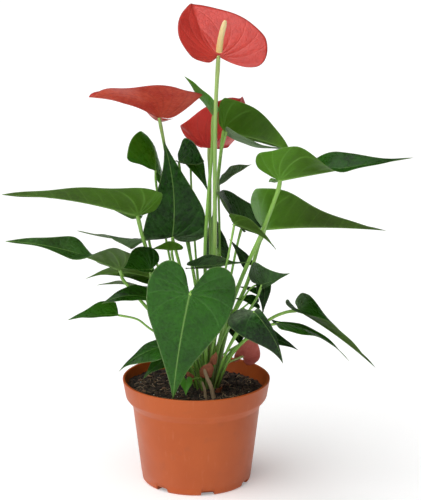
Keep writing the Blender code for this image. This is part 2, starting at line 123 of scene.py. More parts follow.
# Rows of leaves and flowers. Places are in millimetres. junction is where the stalk meets the
# blade, tip is the blade's far end and face is the way its upper side looks. radius is the stalk's
# radius and stalk its own points from the soil up. left and right widen the halves, and back_left
# and back_right lengthen the basal lobes. arch bows the midrib, as a part of the blade's length,
# and sway bows it sideways. fold raises both halves, curl turns them down again towards the edge
# and twist turns the blade about its midrib from junction to tip, all in degrees. roll turns only
# its outer part. lift raises the lobes. wave and waves ripple the edge. tone is how light the
# colour is and tone_tip the same at the tip. sheen is how much painted grey sheen, standing in for
# the gloss's reflection, is mixed into the colour, and lobe_sheen how much more at the lobes.
def grown(name, junction, tip, face, radius, stalk, **shape):
    return dict(shape, name=name, junction=junction, tip=tip, face=face, radius=radius, stalk=stalk)


# Leaves whose blade and petiole are two nodes.
LEAVES = (
    grown("front_leaf", (-6, -82, 221), (-23, -65, 107), (-0.06, -1, 0.14), 1.8, ((12, -23, 0),
         (10, -27, 130), (8, -43, 180), (3, -61, 214), (-3, -77, 223)), left=1.03, right=0.98,
         back_left=0.88, back_right=0.82, arch=0.026, sway=-0.014, fold=-4, curl=-19, twist=3, lift=0.05,
         tone=0.66),
    grown("upright_leaf", (-24, 1, 258), (-33, 14, 356), (-0.05, -1, 0.19), 1.8, ((3, -2, 0),
         (2, -1, 130), (-8, 4, 180), (-19, 5, 236), (-23, 3, 251)), left=0.81, right=0.89, back_left=0.05,
         back_right=0.21, arch=0.035, sway=-0.058, fold=6, curl=-14, twist=2, lift=0.06, tone=0.25,
         lobe_sheen=0.35),
    grown("long_left_leaf", (-58, -33, 289), (-189, -70, 319), (-0.02, 0.65, 1), 2.1, ((-4, -12, 0),
         (-16, -12, 153), (-38, -28, 217), (-52, -32, 263), (-56, -33, 280)), left=0.93, right=0.41,
         back_left=0.36, back_right=0.19, arch=0.029, sway=0.037, fold=16, twist=-15, lift=0.65, tone=0.6,
         tone_tip=0.4),
    grown("twisted_left_leaf", (-77, -8, 226), (-190, -32, 264), (-0.04, 0.5, 1), 1.8, ((-8, 2, 0),
         (-22, -2, 129), (-50, -8, 168), (-71, -10, 212), (-75, -8, 220)), left=0.91, right=0.6,
         back_left=0.3, back_right=0.13, arch=0.052, sway=-0.02, fold=19, curl=-15, twist=1, roll=-51,
         lift=0.4, tone=0.35, sheen=0.12),
    grown("mid_left_leaf", (-50, -42, 207), (-94, -44, 200), (-0.06, -0.13, 1), 1.2, ((-24, -16, 0),
         (-36, -18, 150), (-44, -23, 172), (-47, -31, 189), (-48, -39, 200)), left=0.94, right=1.05,
         back_left=0.17, back_right=0.32, arch=0.12, sway=0.026, fold=14, curl=-5, twist=-38, tone=0.3),
    grown("low_left_leaf", (-79, -21, 182), (-130, -27, 178), (-0.03, -0.12, 1), 1.2, ((-20, -6, 0),
         (-32, -14, 125), (-47, -20, 150), (-67, -23, 169), (-75, -22, 178)), left=0.27, right=1.31,
         back_left=0.06, back_right=0.05, arch=0.04, sway=-0.008, fold=11, curl=-9, twist=-32, lift=0.14,
         tone=0.45),
    grown("slim_top_leaf", (18, 21, 379), (-12, 33, 417), (-1, -0.02, 0.31), 1.9, ((10, -9, 0),
         (10, -9, 180), (9, -8, 241), (11, 0, 281), (16, 17, 343), (17, 20, 372)), left=0.8, right=0.95,
         back_left=0.18, back_right=0.06, arch=-0.033, sway=-0.03, fold=-4, curl=-14, twist=26, lift=0.29,
         tone=1.4, tone_tip=1.2),
    grown("upper_right_leaf", (28, 23, 363), (95, -14, 350), (0.55, 1, 0.45), 1.9, ((22, 8, 0),
         (17, 8, 190), (18, 15, 273), (23, 20, 322), (27, 23, 356)), left=0.25, right=1.25,
         back_left=0.06, back_right=0.22, arch=0.216, sway=0.146, fold=24, curl=-24, twist=-36, lift=0.07,
         tone=0.8, tone_tip=0.5),
    grown("long_right_leaf", (83, -44, 328), (215, -35, 346), (0.09, 0.63, 1), 2.2, ((25, -10, 0),
         (32, -15, 157), (40, -28, 207), (51, -38, 239), (66, -46, 276), (79, -45, 311), (82, -45, 321)),
         left=0.91, right=0.97, back_left=0.23, back_right=0.52, arch=0.003, sway=-0.032, fold=23,
         curl=-15, twist=2, roll=42, lift=0.75, tone=0.85, tone_tip=0.3),
    grown("pale_right_leaf", (69, -9, 269), (188, -47, 277), (-0.15, 0.97, 1), 2.1, ((32, -4, 0),
         (40, -10, 165), (52, -12, 214), (63, -12, 253), (67, -10, 262)), left=0.49, right=1.02,
         back_left=0.28, back_right=0.24, arch=0.009, sway=-0.039, fold=26, curl=2, twist=2, roll=8,
         lift=0.67, tone=1, tone_tip=0.25, lobe_sheen=1.4),
    grown("dark_inner_leaf", (47, 33, 260), (23, -14, 310), (0.46, -0.66, 1), 1.4, ((30, 8, 0),
         (33, 13, 179), (40, 26, 233), (45, 33, 253)), left=0.26, right=1.45, back_left=0.07,
         back_right=1.21, arch=-0.063, sway=-0.061, fold=12, curl=-7, twist=28, lift=0.22, tone=0.2,
         sheen=0.15),
    grown("small_right_leaf", (66, -39, 219), (93, -64, 238), (-0.26, -1, 0.42), 1.3, ((36, -14, 0),
         (46, -24, 140), (56, -33, 185), (61, -38, 205), (64, -38, 213)), left=1.51, right=0.25,
         back_left=1.41, back_right=0.08, arch=0.059, sway=-0.027, curl=1, twist=23, tone=0.25,
         sheen=0.12),
    grown("rim_right_leaf", (58, -65, 199), (87, -59, 143), (-0.17, -1, 0.34), 1.3, ((31, -18, 0),
         (44, -39, 140), (54, -56, 181), (57, -63, 193)), left=0.25, right=1.2, back_left=0.06,
         back_right=0.41, arch=0.088, sway=0.073, fold=8, curl=-14, twist=-6, lift=0.05, tone=0.15,
         lobe_sheen=0.5),
    grown("far_right_leaf", (104, -24, 188), (181, -42, 133), (0.32, -0.07, 1), 1.8, ((43, 4, 0),
         (52, 0, 130), (70, -4, 149), (89, -10, 173), (100, -20, 184)), left=0.83, right=0.79,
         back_left=0.3, back_right=0.54, arch=0.049, sway=-0.045, fold=20, curl=-9, twist=-43, lift=0.6,
         tone=0.3, lobe_sheen=0.5),
    grown("low_right_leaf", (83, -45, 181), (155, -39, 140), (0.3, 0.11, 1), 1.5, ((40, -8, 0),
         (57, -24, 136), (72, -36, 163), (79, -43, 174)), left=0.3, right=1.02, back_left=0.3,
         back_right=0.3, arch=0.092, sway=0.063, fold=5, curl=-8, twist=15, lift=0.1, tone=0.35),
)
# Smaller leaves whose blade and petiole are one node.
JOINED_LEAVES = (
    grown("rear_left_leaf", (-49, 36, 246), (-126, 77, 244), (-0.11, 0.14, 1), 1.4, ((-2, 17, 0),
         (-8, 17, 131), (-29, 26, 183), (-45, 33, 232)), left=1.17, right=0.97, back_left=0.15,
         back_right=0.55, arch=-0.039, sway=-0.045, fold=8, curl=-21, twist=35, lift=0.24, tone=0.25,
         sheen=0.35),
    grown("sheltered_leaf", (-24, -28, 252), (-45, -30, 253), (0, 1, 0.45), 1.3, ((4, -20, 0),
         (-4, -17, 130), (-14, -22, 190), (-23, -28, 242)), left=1.3, right=0.2, back_left=1.6,
         back_right=0.2, tone=0.7),
    grown("round_left_leaf", (-45, -50, 238), (-71, -83, 249), (-0.25, -1, 0.76), 1.2, ((-8, -20, 0),
         (-12, -26, 130), (-22, -32, 170), (-37, -42, 204), (-44, -49, 227)), left=0.26, right=1.59,
         back_left=0.83, back_right=1.1, arch=-0.048, sway=-0.01, fold=11, curl=-1, twist=27, lift=0.02,
         tone=0.25),
    grown("narrow_left_leaf", (-48, 36, 206), (-116, 53, 200), (-0.07, 0.75, 1), 1.3, ((-11, 12, 0),
         (-20, 24, 140), (-36, 32, 180), (-44, 35, 199)), left=1.02, right=0.96, back_left=0.35,
         back_right=0.43, arch=0.087, sway=-0.009, fold=5, curl=-11, twist=9, lift=0.13, tone=0.5),
    grown("lower_narrow_leaf", (-49, 53, 187), (-105, 67, 187), (0.1, 0.23, 1), 1.2, ((-9, 25, 0),
         (-23, 40, 138), (-39, 50, 175)), left=1.1, right=0.91, back_left=0.3, back_right=0.31,
         sway=0.018, curl=-16, twist=24, lift=0.08, tone=0.3),
    grown("rim_left_leaf", (-32, -49, 158), (-78, -47, 130), (-0.2, -0.35, 1), 1.2, ((-22, -27, 0),
         (-24, -36, 121), (-29, -46, 146)), left=0.97, right=0.6, back_left=0.38, back_right=0.15,
         arch=0.097, sway=0.006, fold=4, curl=-4, twist=-22, lift=0.05, tone=0.4),
    grown("sprout_leaf", (-10, -52, 122), (-10, -60, 109), (0, -1, 0.4), 0.7, ((-7, -46, 0),
         (-8, -48, 110), (-9, -51, 119)), left=1.1, right=1.1, tone=1.6),
    grown("upper_left_leaf", (-41, 14, 324), (-57, 97, 339), (0.65, -1, 0.21), 1.3, ((-3, 7, 0),
         (-5, 12, 130), (-20, 15, 193), (-33, 18, 262), (-40, 16, 305)), left=1.02, right=1,
         back_left=0.15, back_right=0.25, arch=0.132, sway=0.088, fold=-8, curl=-22, twist=21, lift=0.03,
         tone=0.6, tone_tip=0.6),
    grown("folded_leaf", (-18, 51, 325), (9, 6, 335), (0.43, -1, 0.55), 1.3, ((7, 14, 0), (4, 24, 150),
         (-6, 38, 229), (-16, 50, 309)), left=1.23, right=0.44, back_left=0.34, back_right=0.15,
         arch=-0.087, sway=0.035, fold=32, curl=15, twist=-2, tone=0.1),
    grown("lower_inner_leaf", (38, -48, 284), (79, -77, 265), (0.56, 0.96, 1), 1.2, ((17, -14, 0),
         (20, -34, 150), (27, -56, 226), (34, -55, 263), (37, -50, 278)), left=0.27, right=0.9,
         back_left=0.16, back_right=0.23, arch=0.105, sway=0.035, fold=12, curl=-23, twist=-12, lift=0.2,
         tone=0.4),
    grown("spear_leaf", (23, 38, 304), (56, 13, 331), (-0.31, -0.22, 1), 1.3, ((25, 17, 0), (24, 31, 199),
         (23, 38, 289)), left=0.95, right=0.51, back_left=0.15, back_right=0.15, arch=0.001, sway=0.064,
         fold=9, curl=5, twist=34, lift=0.02, tone=0.2, sheen=0.4),
    grown("glossy_middle_leaf", (1, -33, 236), (53, -56, 247), (0.11, -0.13, 1), 1.3, ((10, -20, 0),
         (7, -26, 169), (2, -31, 224)), left=0.94, right=0.84, back_left=0.88, back_right=0.4, arch=0.015,
         sway=-0.052, fold=7, curl=15, twist=11, lift=0.03, tone=0.15, sheen=0.12),
    grown("rear_upright_leaf", (22, 42, 235), (19, 52, 275), (-0.6, -0.8, 0), 1.3, ((20, 26, 0),
         (22, 32, 150), (22, 40, 222)), tone=0.1),
    grown("rear_rim_leaf", (42, 30, 163), (46, 42, 128), (-0.2, -0.8, 0.5), 1.2, ((34, 16, 0),
         (37, 21, 140), (40, 27, 158)), tone=0.1),
)
# Leaves seen only as slivers, without a node of their own.
EXTRA_LEAVES = (
    grown("shaded_rim_leaf", (-33, -42, 140), (-53, -50, 124), (-0.3, -0.6, 0.8), 1, ((-8, -24, 0),
         (-16, -32, 115)), left=0.9, right=0.9, back_left=0.3, back_right=0.3, tone=0.5),
    grown("hanging_small_leaf", (69, -18, 214), (67, -22, 182), (0.3, -1, 0.1), 1, ((10, -14, 0),
         (34, -16, 150), (52, -17, 205)), left=0.55, right=0.75, back_left=0.4, back_right=0.4, tone=0.1),
    grown("hidden_right_leaf", (63, -2, 157), (105, 2, 137), (0.1, -0.7, 0.7), 1, ((12, -10, 0),
         (30, -8, 130)), left=0.6, right=0.6, back_left=0.4, back_right=0.4, tone=0.1),
    grown("small_inner_leaf", (62, -8, 191), (37, -14, 197), (0, -0.5, 0.9), 1, ((10, -12, 0),
         (30, -8, 150)), left=0.9, right=0.9, back_left=0.3, back_right=0.3, tone=0.2),
    grown("dark_wedge_leaf", (52, -8, 232), (33, -2, 257), (0.3, -1, 0.3), 1, ((10, -10, 0),
         (26, -8, 160)), left=0.5, right=0.5, back_left=0.3, back_right=0.3, tone=0.05),
    grown("slender_inner_leaf", (65, 0, 199), (41, -4, 207), (0, -0.6, 0.8), 1, ((10, -10, 0),
         (34, 0, 160)), left=0.5, right=0.5, back_left=0.2, back_right=0.2, tone=0.15),
    grown("half_hidden_leaf", (-6, 44, 330), (12, 34, 297), (0.4, -1, 0.5), 1.2, ((7, 10, 0),
         (2, 20, 150), (-4, 38, 280)), left=0.75, right=0.6, back_left=0.3, back_right=0.3, tone=0.35),
    grown("upper_right_fold", (31, 14, 364), (95, -6, 350), (0.3, -0.8, -0.6), 1, ((22, 8, 0),
         (17, 8, 190), (18, 12, 273), (23, 16, 330)), left=0.3, right=0.22, back_left=0.05,
         back_right=0.05, tone=0.3, sheen=1.2),
)
# Flowers, with the spadix as its own points from the junction up.
FLOWERS = (
    grown("top_flower", (22, -16, 446), (-4, 24, 492), (0.47, -1, 0.65), 2.2, ((18, 0, 0), (18, -1, 138),
         (18, -3, 193), (19, -4, 243), (19, -2, 297), (19, -6, 349), (20, -11, 401), (22, -16, 440)),
         left=0.95, right=1.29, back_left=0.34, back_right=1.15, arch=0.037, sway=0.089, fold=12, curl=9,
         twist=6, wave=0.014, waves=4, spadix=((23, -23, 452), (25, -31, 468), (29, -39, 485)),
         spadix_radius=3.1),
    grown("left_flower", (-37, 12, 379), (-106, -5, 404), (0.12, 0.58, 1), 1.8, ((10, 3, 0), (7, 6, 148),
         (0, 10, 200), (-9, 16, 248), (-20, 22, 285), (-29, 23, 331), (-33, 19, 355), (-36, 13, 373)),
         left=1.17, right=0.9, back_left=1.37, back_right=0.91, arch=0.037, sway=0.054, fold=27, curl=-11,
         twist=-20, lift=0.4, wave=0.02, waves=6, tone=0.7, spadix=((-41, 16, 385), (-51, 21, 393),
         (-63, 25, 397)), spadix_radius=2.6),
    grown("right_flower", (13, 51, 339), (46, 28, 397), (-0.18, 1, 0.21), 1.8, ((17, 18, 0),
         (15, 22, 199), (14, 32, 266), (14, 44, 307), (13, 50, 332)), left=0.76, right=0.92,
         back_left=0.05, back_right=0.34, arch=-0.019, sway=0.078, fold=31, curl=7, twist=8, lift=0.05,
         wave=0.03, waves=5, tone=1.3, spadix=((15, 61, 346), (19, 68, 358), (24, 72, 371)),
         spadix_radius=2.6),
)
OLD_FLOWER = grown("old_flower", (48, 13, 127), (58, 8, 151), (0.3, -1, 0.35), 1.3, ((26, 2, 0),
         (37, 6, 111), (45, 11, 123)), left=0.56, right=1.1, back_left=1.1, back_right=1.05, arch=0.024,
         fold=3, curl=-9, twist=-17, lift=0.03)
ROOTS = (
    dict(name="upper_root", radius=2.4, points=((19, -42, 0), (16, -42, 110), (11, -41, 122),
         (8, -38, 131))),
    dict(name="lower_root", radius=1.8, points=((10, -44, 0), (9, -43, 108), (6, -41, 118))),
)

# Papery sheaths: foot, height, radius, heading, opening, lean of the tip.
SHEATHS = (
    ((10, -31, 120), 19, 6.0, -1.6, 3.0, (4, -2)),
    ((-5, -36, 117), 13, 3.4, -2.0, 3.4, (-2, -2)),
    ((17, -27, 132), 15, 3.4, -1.3, 2.6, (2, -1)),
    ((22, -30, 103), 8, 3.0, -1.2, 2.6, (3, -2)),
)


# ---------------------------------------------------------------- shader arithmetic

class Wire:
    """A value in a node tree. Arithmetic on it adds Math nodes."""

    def __init__(self, tree, socket):
        self.tree, self.socket = tree, socket

    def math(self, operation, *others):
        node = self.tree.nodes.new("ShaderNodeMath")
        node.operation = operation
        for place, value in zip(node.inputs, (self, *others)):
            if isinstance(value, Wire):
                self.tree.links.new(value.socket, place)
            else:
                place.default_value = value
        return Wire(self.tree, node.outputs[0])

    def __add__(self, other):
        return self.math("ADD", other)

    def __sub__(self, other):
        return self.math("SUBTRACT", other)

    def __mul__(self, other):
        return self.math("MULTIPLY", other)

    def __truediv__(self, other):
        return self.math("DIVIDE", other)

    def __abs__(self):
        return self.math("ABSOLUTE")

    def held(self):
        """The value held between 0 and 1."""
        return self.math("MULTIPLY", 1.0).clamp()

    def clamp(self):
        self.socket.node.use_clamp = True
        return self

    def fraction(self):
        return self.math("FRACT")

    def root(self):
        return self.math("SQRT")

    def angle(self, other):
        return self.math("ARCTAN2", other)


def ridge(distance, width):
    """1 on a line and 0 beyond its width."""
    return (distance / width * -1 + 1).held()


def near_line(value, spacing):
    """How far value is from the nearest whole multiple of spacing."""
    return abs((value / spacing + 0.5).fraction() - 0.5) * spacing


def vein_start(along, out):
    """Where the side vein through a point leaves the midrib, for wires or for arrays."""
    return along - out * SIDE_VEIN_SLANT - out * out * SIDE_VEIN_BOW


def leaf_veins(along, across):
    """(midrib, side veins) of a leaf, each 1 on the vein, in the outline's unit terms."""
    out = abs(across)
    reach = (along * along + out * out + NEVER_ZERO).root()
    midrib = ridge(out, (along * -0.009 + 0.0125)) * (along * 60 + 1).held()
    start = vein_start(along, out)
    side = ridge(near_line(start, SIDE_VEIN_SPACING), 0.0075) * (start * 30 - 0.6).held() * 0.45
    turn = out.angle(along * -1) - reach * BASAL_VEIN_SWEEP
    gap = near_line(turn - BASAL_VEIN_OFFSET, BASAL_VEIN_TURN) * reach
    basal = ridge(gap, 0.013) * (start * -30 + 1.6).held()
    return midrib, (side + basal * (reach * -1.5 + 1.35).held()).held()


def spathe_veins(along, across):
    """(midrib, the veins that fan out from the junction) of a spathe, each 1 on the vein."""
    out = abs(across)
    reach = (along * along + out * out + NEVER_ZERO).root()
    midrib = ridge(out, 0.012) * (along * 60 + 1).held()
    turn = out.angle(along * -1) - reach * SPATHE_VEIN_SWEEP
    return midrib, ridge(near_line(turn - SPATHE_VEIN_OFFSET, SPATHE_VEIN_TURN) * reach, 0.014)


# ---------------------------------------------------------------- materials

class Paint:
    """A material with a Principled shader, and short ways to feed it."""

    def __init__(self, name, colour, roughness):
        self.made = bpy.data.materials.new(name)
        self.made.use_nodes = True
        self.tree = self.made.node_tree
        self.shader = self.tree.nodes["Principled BSDF"]
        self.shader.inputs["Base Color"].default_value = (*colour, 1)
        self.shader.inputs["Roughness"].default_value = roughness
        self.places = self.tree.nodes.new("ShaderNodeTexCoord").outputs["Object"]

    def attribute(self, name):
        """The three numbers that each point holds under this name."""
        source = self.tree.nodes.new("ShaderNodeAttribute")
        source.attribute_name = name
        split = self.tree.nodes.new("ShaderNodeSeparateXYZ")
        self.tree.links.new(source.outputs["Vector"], split.inputs[0])
        return [Wire(self.tree, socket) for socket in split.outputs]

    def noise(self, scale, detail=2.0, stretch=None, distortion=0.0):
        node = self.tree.nodes.new("ShaderNodeTexNoise")
        node.inputs["Scale"].default_value = scale
        node.inputs["Detail"].default_value = detail
        node.inputs["Distortion"].default_value = distortion
        if stretch:
            mapping = self.tree.nodes.new("ShaderNodeMapping")
            mapping.inputs["Scale"].default_value = stretch
            self.tree.links.new(self.places, mapping.inputs["Vector"])
            self.tree.links.new(mapping.outputs[0], node.inputs["Vector"])
        else:
            self.tree.links.new(self.places, node.inputs["Vector"])
        return Wire(self.tree, node.outputs["Fac"])

    def cells(self, scale):
        """0 on the edges of a net of cells, growing inwards."""
        node = self.tree.nodes.new("ShaderNodeTexVoronoi")
        node.feature = "DISTANCE_TO_EDGE"
        node.inputs["Scale"].default_value = scale
        self.tree.links.new(self.places, node.inputs["Vector"])
        return Wire(self.tree, node.outputs["Distance"])

    def blend(self, first, second, amount):
        """Two colours, each three numbers or a socket, mixed by a Wire."""
        node = self.tree.nodes.new("ShaderNodeMix")
        node.data_type = "RGBA"
        self.tree.links.new(amount.socket, node.inputs["Factor"])
        for place, colour in ((node.inputs[6], first), (node.inputs[7], second)):
            if isinstance(colour, tuple):
                place.default_value = (*colour, 1)
            else:
                self.tree.links.new(colour, place)
        return node.outputs[2]

    def feed(self, name, value):
        self.tree.links.new(getattr(value, "socket", value), self.shader.inputs[name])

    def bump(self, height, depth):
        """Fine relief, with depth in metres for a height of 1."""
        node = self.tree.nodes.new("ShaderNodeBump")
        node.inputs["Strength"].default_value = 1.0
        node.inputs["Distance"].default_value = depth
        self.tree.links.new(height.socket, node.inputs["Height"])
        self.tree.links.new(node.outputs[0], self.shader.inputs["Normal"])

    def let_light_through(self, colour, share):
        """Mixes in light from behind, as a thin blade passes it. colour is a socket or a tuple."""
        behind = self.tree.nodes.new("ShaderNodeBsdfTranslucent")
        if isinstance(colour, tuple):
            behind.inputs["Color"].default_value = (*colour, 1)
        else:
            self.tree.links.new(colour, behind.inputs["Color"])
        mix = self.tree.nodes.new("ShaderNodeMixShader")
        mix.inputs[0].default_value = share
        self.tree.links.new(self.shader.outputs[0], mix.inputs[1])
        self.tree.links.new(behind.outputs[0], mix.inputs[2])
        self.tree.links.new(mix.outputs[0], self.tree.nodes["Material Output"].inputs["Surface"])


def leaf_top():
    paint = Paint("leaf upper side", (0.03, 0.11, 0.02), 0.34)
    along, across, edge = paint.attribute("blade")
    tone, sheen = paint.attribute("tone")[:2]
    midrib, side = leaf_veins(along, across)
    net = (paint.cells(230) * -8 + 1).held()
    patches = paint.noise(34, 3)
    mottle = paint.noise(330, 4)
    shade = (tone + patches * 1.5 + mottle * 1.7 - 1.6).held()
    green = paint.blend((0.003, 0.017, 0.002), (0.030, 0.165, 0.007), shade)
    green = paint.blend(green, (0.10, 0.36, 0.03), (tone * 2 - 2).held())
    faint = (patches * 2.0 - 0.45).held() * (tone * 0.6 + 0.3).held()
    green = paint.blend(green, (0.085, 0.26, 0.045), side * faint + net * 0.14)
    green = paint.blend(green, (0.30, 0.54, 0.13), midrib * 0.9)
    # Painted sheen: patches of grey mixed into the colour, standing in for the gloss's reflection.
    painted_sheen = (sheen * (patches * 2.4 + mottle * 1.2 - 1.0)).held()
    green = paint.blend(green, (0.30, 0.42, 0.24), painted_sheen)
    green = paint.blend(green, (0.30, 0.46, 0.16), ((edge - 0.975) * 40).held() * 0.85)
    paint.feed("Base Color", green)
    paint.feed("Roughness", mottle * 0.24 + paint.noise(60, 3) * 0.22 + 0.07)
    paint.bump(mottle * 1.2 - net * 0.6 - side * 0.9, 0.00028)
    paint.shader.inputs["Specular IOR Level"].default_value = 0.36
    paint.let_light_through(paint.blend((0.012, 0.06, 0.004), (0.42, 0.85, 0.10), tone), 0.35)
    return paint.made


def leaf_underside():
    paint = Paint("leaf underside", (0.10, 0.21, 0.04), 0.5)
    along, across, edge = paint.attribute("blade")
    tone, sheen = paint.attribute("tone")[:2]
    midrib, side = leaf_veins(along, across)
    net = (paint.cells(230) * -8 + 1).held()
    patches = paint.noise(34, 3)
    mottle = paint.noise(330, 4)
    shade = (tone + patches * 1.3 + mottle * 1.4 - 1.35).held()
    green = paint.blend((0.058, 0.100, 0.014), (0.115, 0.26, 0.018), shade)
    green = paint.blend(green, (0.22, 0.44, 0.07), side * 0.8 + net * 0.16)
    green = paint.blend(green, (0.36, 0.58, 0.15), midrib * 0.9)
    # Painted sheen: patches of grey mixed into the colour, standing in for the gloss's reflection.
    painted_sheen = (sheen * (patches * 2.4 + mottle * 1.2 - 1.0)).held()
    green = paint.blend(green, (0.36, 0.48, 0.30), painted_sheen)
    green = paint.blend(green, (0.28, 0.42, 0.14), ((edge - 0.975) * 40).held() * 0.75)
    paint.feed("Base Color", green)
    paint.feed("Roughness", mottle * 0.12 + paint.noise(60, 3) * 0.15 + 0.30)
    paint.bump(mottle * 0.8 + net * 0.4 + side * 0.9, 0.00022)
    paint.shader.inputs["Specular IOR Level"].default_value = 0.35
    paint.let_light_through(paint.blend((0.05, 0.16, 0.02), (0.60, 1.0, 0.14), tone), 0.5)
    return paint.made


def spathe_face(name, low, high, vein, roughness, glow):
    paint = Paint(name, high, roughness)
    along, across, edge = paint.attribute("blade")
    tone = paint.attribute("tone")[0]
    midrib, side = spathe_veins(along, across)
    patches = paint.noise(35, 3)
    speckle = paint.noise(260, 4)
    red = paint.blend(low, high, (patches * 1.9 + speckle * 1.5 - 1.2).held())
    red = paint.blend(red, (0.72, 0.030, 0.030), (tone - 0.5).held())
    red = paint.blend(red, vein, side * 0.3 + midrib * 0.4)
    red = paint.blend(red, (0.30, 0.020, 0.016), ((edge - 0.978) * 45).held() * 0.8)
    paint.feed("Base Color", red)
    paint.feed("Roughness", paint.noise(120, 2) * 0.14 + (roughness - 0.07))
    net = (paint.cells(260) * -8 + 1).held()
    paint.bump(speckle * 1.2 - net * 0.6 - side * 0.8, 0.00030)
    paint.shader.inputs["Coat Weight"].default_value = 0.15
    paint.shader.inputs["Coat Roughness"].default_value = 0.3
    paint.let_light_through(glow, 0.25)
    return paint.made


def stalk_paint(name, foot, low, high, flush):
    """A stalk's colour runs from its foot up to the blade, with fine lengthwise lines."""
    paint = Paint(name, high, 0.4)
    height = paint.attribute("stalk")[0]
    patches = paint.noise(60, 3)
    green = paint.blend(low, high, (height + patches * 0.5 - 0.3).held())
    green = paint.blend(green, foot, (height * -6 + 1.1 + patches * 0.4).held() * 0.85)
    green = paint.blend(green, flush, (paint.noise(160, 3, (1, 1, 0.08)) * 3 - 1.45).held() * 0.5)
    paint.feed("Base Color", green)
    paint.feed("Roughness", paint.noise(150, 2) * 0.2 + 0.28)
    paint.bump(paint.noise(1500, 2, (1, 1, 0.05)), 0.00012)
    paint.shader.inputs["Subsurface Weight"].default_value = 0.15
    paint.shader.inputs["Subsurface Radius"].default_value = (0.8, 1.0, 0.3)
    paint.shader.inputs["Subsurface Scale"].default_value = 0.002
    return paint.made


def spadix_paint():
    paint = Paint("spadix", (0.90, 0.72, 0.28), 0.5)
    height, _, bump = paint.attribute("stalk")
    yellow = paint.blend((1.0, 0.88, 0.52), (0.96, 0.72, 0.28), (height * -1.5 + 1).held())
    yellow = paint.blend((0.80, 0.55, 0.18), yellow, (bump * 1.4 + 0.5).held())
    paint.feed("Base Color", yellow)
    paint.feed("Roughness", paint.noise(900, 2) * 0.2 + 0.42)
    paint.shader.inputs["Subsurface Weight"].default_value = 0.2
    paint.shader.inputs["Subsurface Radius"].default_value = (1.0, 0.7, 0.3)
    paint.shader.inputs["Subsurface Scale"].default_value = 0.002
    return paint.made


def pot_paint():
    paint = Paint("terracotta plastic", (0.50, 0.115, 0.035), 0.4)
    clouds = paint.noise(18, 4, None, 0.6)
    orange = paint.blend((0.46, 0.086, 0.015), (0.54, 0.112, 0.022), (clouds * 1.8 - 0.4).held())
    scuffs = (paint.noise(240, 4, (1, 1, 0.25)) * 5 - 3.0).held()
    orange = paint.blend(orange, (0.64, 0.22, 0.10), scuffs * 0.25)
    dust = (paint.noise(70, 5) * 5 - 2.9).held()
    orange = paint.blend(orange, (0.28, 0.075, 0.035), dust * 0.22)
    paint.feed("Base Color", orange)
    paint.feed("Roughness", paint.noise(60, 4) * 0.22 + 0.30 + scuffs * 0.1)
    grain = paint.noise(1400, 2) * 0.5 + paint.noise(240, 3, (1, 1, 0.1)) * 0.9
    paint.bump(grain, 0.00006)
    paint.shader.inputs["Specular IOR Level"].default_value = 0.3
    return paint.made


def soil_paint():
    paint = Paint("potting soil", (0.02, 0.013, 0.009), 0.95)
    clods = (paint.noise(210, 6) * 3.4 - 1.3).held()
    earth = paint.blend((0.004, 0.003, 0.002), (0.070, 0.045, 0.030), clods)
    specks = (paint.noise(900, 2) * 9 - 6.1).held()
    earth = paint.blend(earth, (0.26, 0.19, 0.13), specks * 0.8)
    paint.feed("Base Color", earth)
    paint.feed("Roughness", paint.noise(300, 2) * 0.25 + 0.72)
    paint.bump(paint.noise(700, 5) + paint.noise(2200, 2) * 0.4, 0.0012)
    return paint.made


def crumb_paint(name, low, high, roughness):
    paint = Paint(name, high, roughness)
    tone = paint.attribute("tone")[0]
    mixed = paint.blend(low, high, (tone + paint.noise(600, 4) * 0.8 - 0.4).held())
    paint.feed("Base Color", mixed)
    paint.feed("Roughness", paint.noise(500, 2) * 0.2 + roughness - 0.1)
    paint.bump(paint.noise(1800, 4), 0.0004)
    return paint.made


# ---------------------------------------------------------------- mesh building

def new_piece(name, verts, faces, materials, slot, replaces=(), picks=None, **attributes):
    """An object from points and faces that rides on the model. picks holds each face's material."""
    mesh = bpy.data.meshes.new(name)
    mesh.from_pydata([tuple(map(float, v)) for v in verts], [], faces)
    for mat in materials:
        mesh.materials.append(mat)
    if picks is not None:
        mesh.polygons.foreach_set("material_index", np.array(picks, np.int32))
    for key, values in attributes.items():
        made = mesh.attributes.new(key, "FLOAT_VECTOR", "POINT")
        made.data.foreach_set("vector", np.asarray(values, np.float32).ravel())
    mesh.shade_smooth()
    mesh.validate()
    obj = bpy.data.objects.new(name, mesh)
    bpy.context.scene.collection.objects.link(obj)
    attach(obj, "root")
    if replaces:
        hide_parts(*replaces)
    return obj


def smooth_points(points, count):
    """Evenly spaced stations on a Catmull-Rom curve through the points."""
    given = np.array(points, float)
    ends = np.vstack([2 * given[0] - given[1], given, 2 * given[-1] - given[-2]])
    spans = len(given) - 1
    station = np.linspace(0, spans, count)
    i = np.minimum(station.astype(int), spans - 1)
    t = (station - i)[:, None]
    a, b, c, d = ends[i], ends[i + 1], ends[i + 2], ends[i + 3]
    return 0.5 * (2 * b + (c - a) * t + (2 * a - 5 * b + 4 * c - d) * t**2
                  + (3 * b - a - 3 * c + d) * t**3)


def bend(along, across, row):
    """Places flat points, in unit terms, on the blade's folded, arched and twisted surface."""
    out = np.abs(across)
    start = math.radians(row.get("fold", 10))
    rate = math.radians(row.get("curl", -10)) / HALF_WIDTH
    over = (np.sin(start + rate * out) - math.sin(start)) / rate * np.sign(across)
    rise = (math.cos(start) - np.cos(start + rate * out)) / rate
    turn = math.radians(row.get("twist", 0)) * along
    late = np.clip((along - ROLL_START) / ROLL_LENGTH, 0, 1)
    turn = turn + math.radians(row.get("roll", 0)) * late * late * (3 - 2 * late)
    side = over * np.cos(turn) - rise * np.sin(turn)
    up = over * np.sin(turn) + rise * np.cos(turn)
    bow = np.where(along > 0, 4 * along * (1 - along), 0)
    behind = np.where(along < 0, along, 0)
    up = up + row.get("arch", 0.08) * (bow + 4 * behind) + row.get("lift", 0) * 3 * behind**2
    side = side + row.get("sway", 0) * (bow + 2 * behind)
    return np.stack([along, side, up], -1)


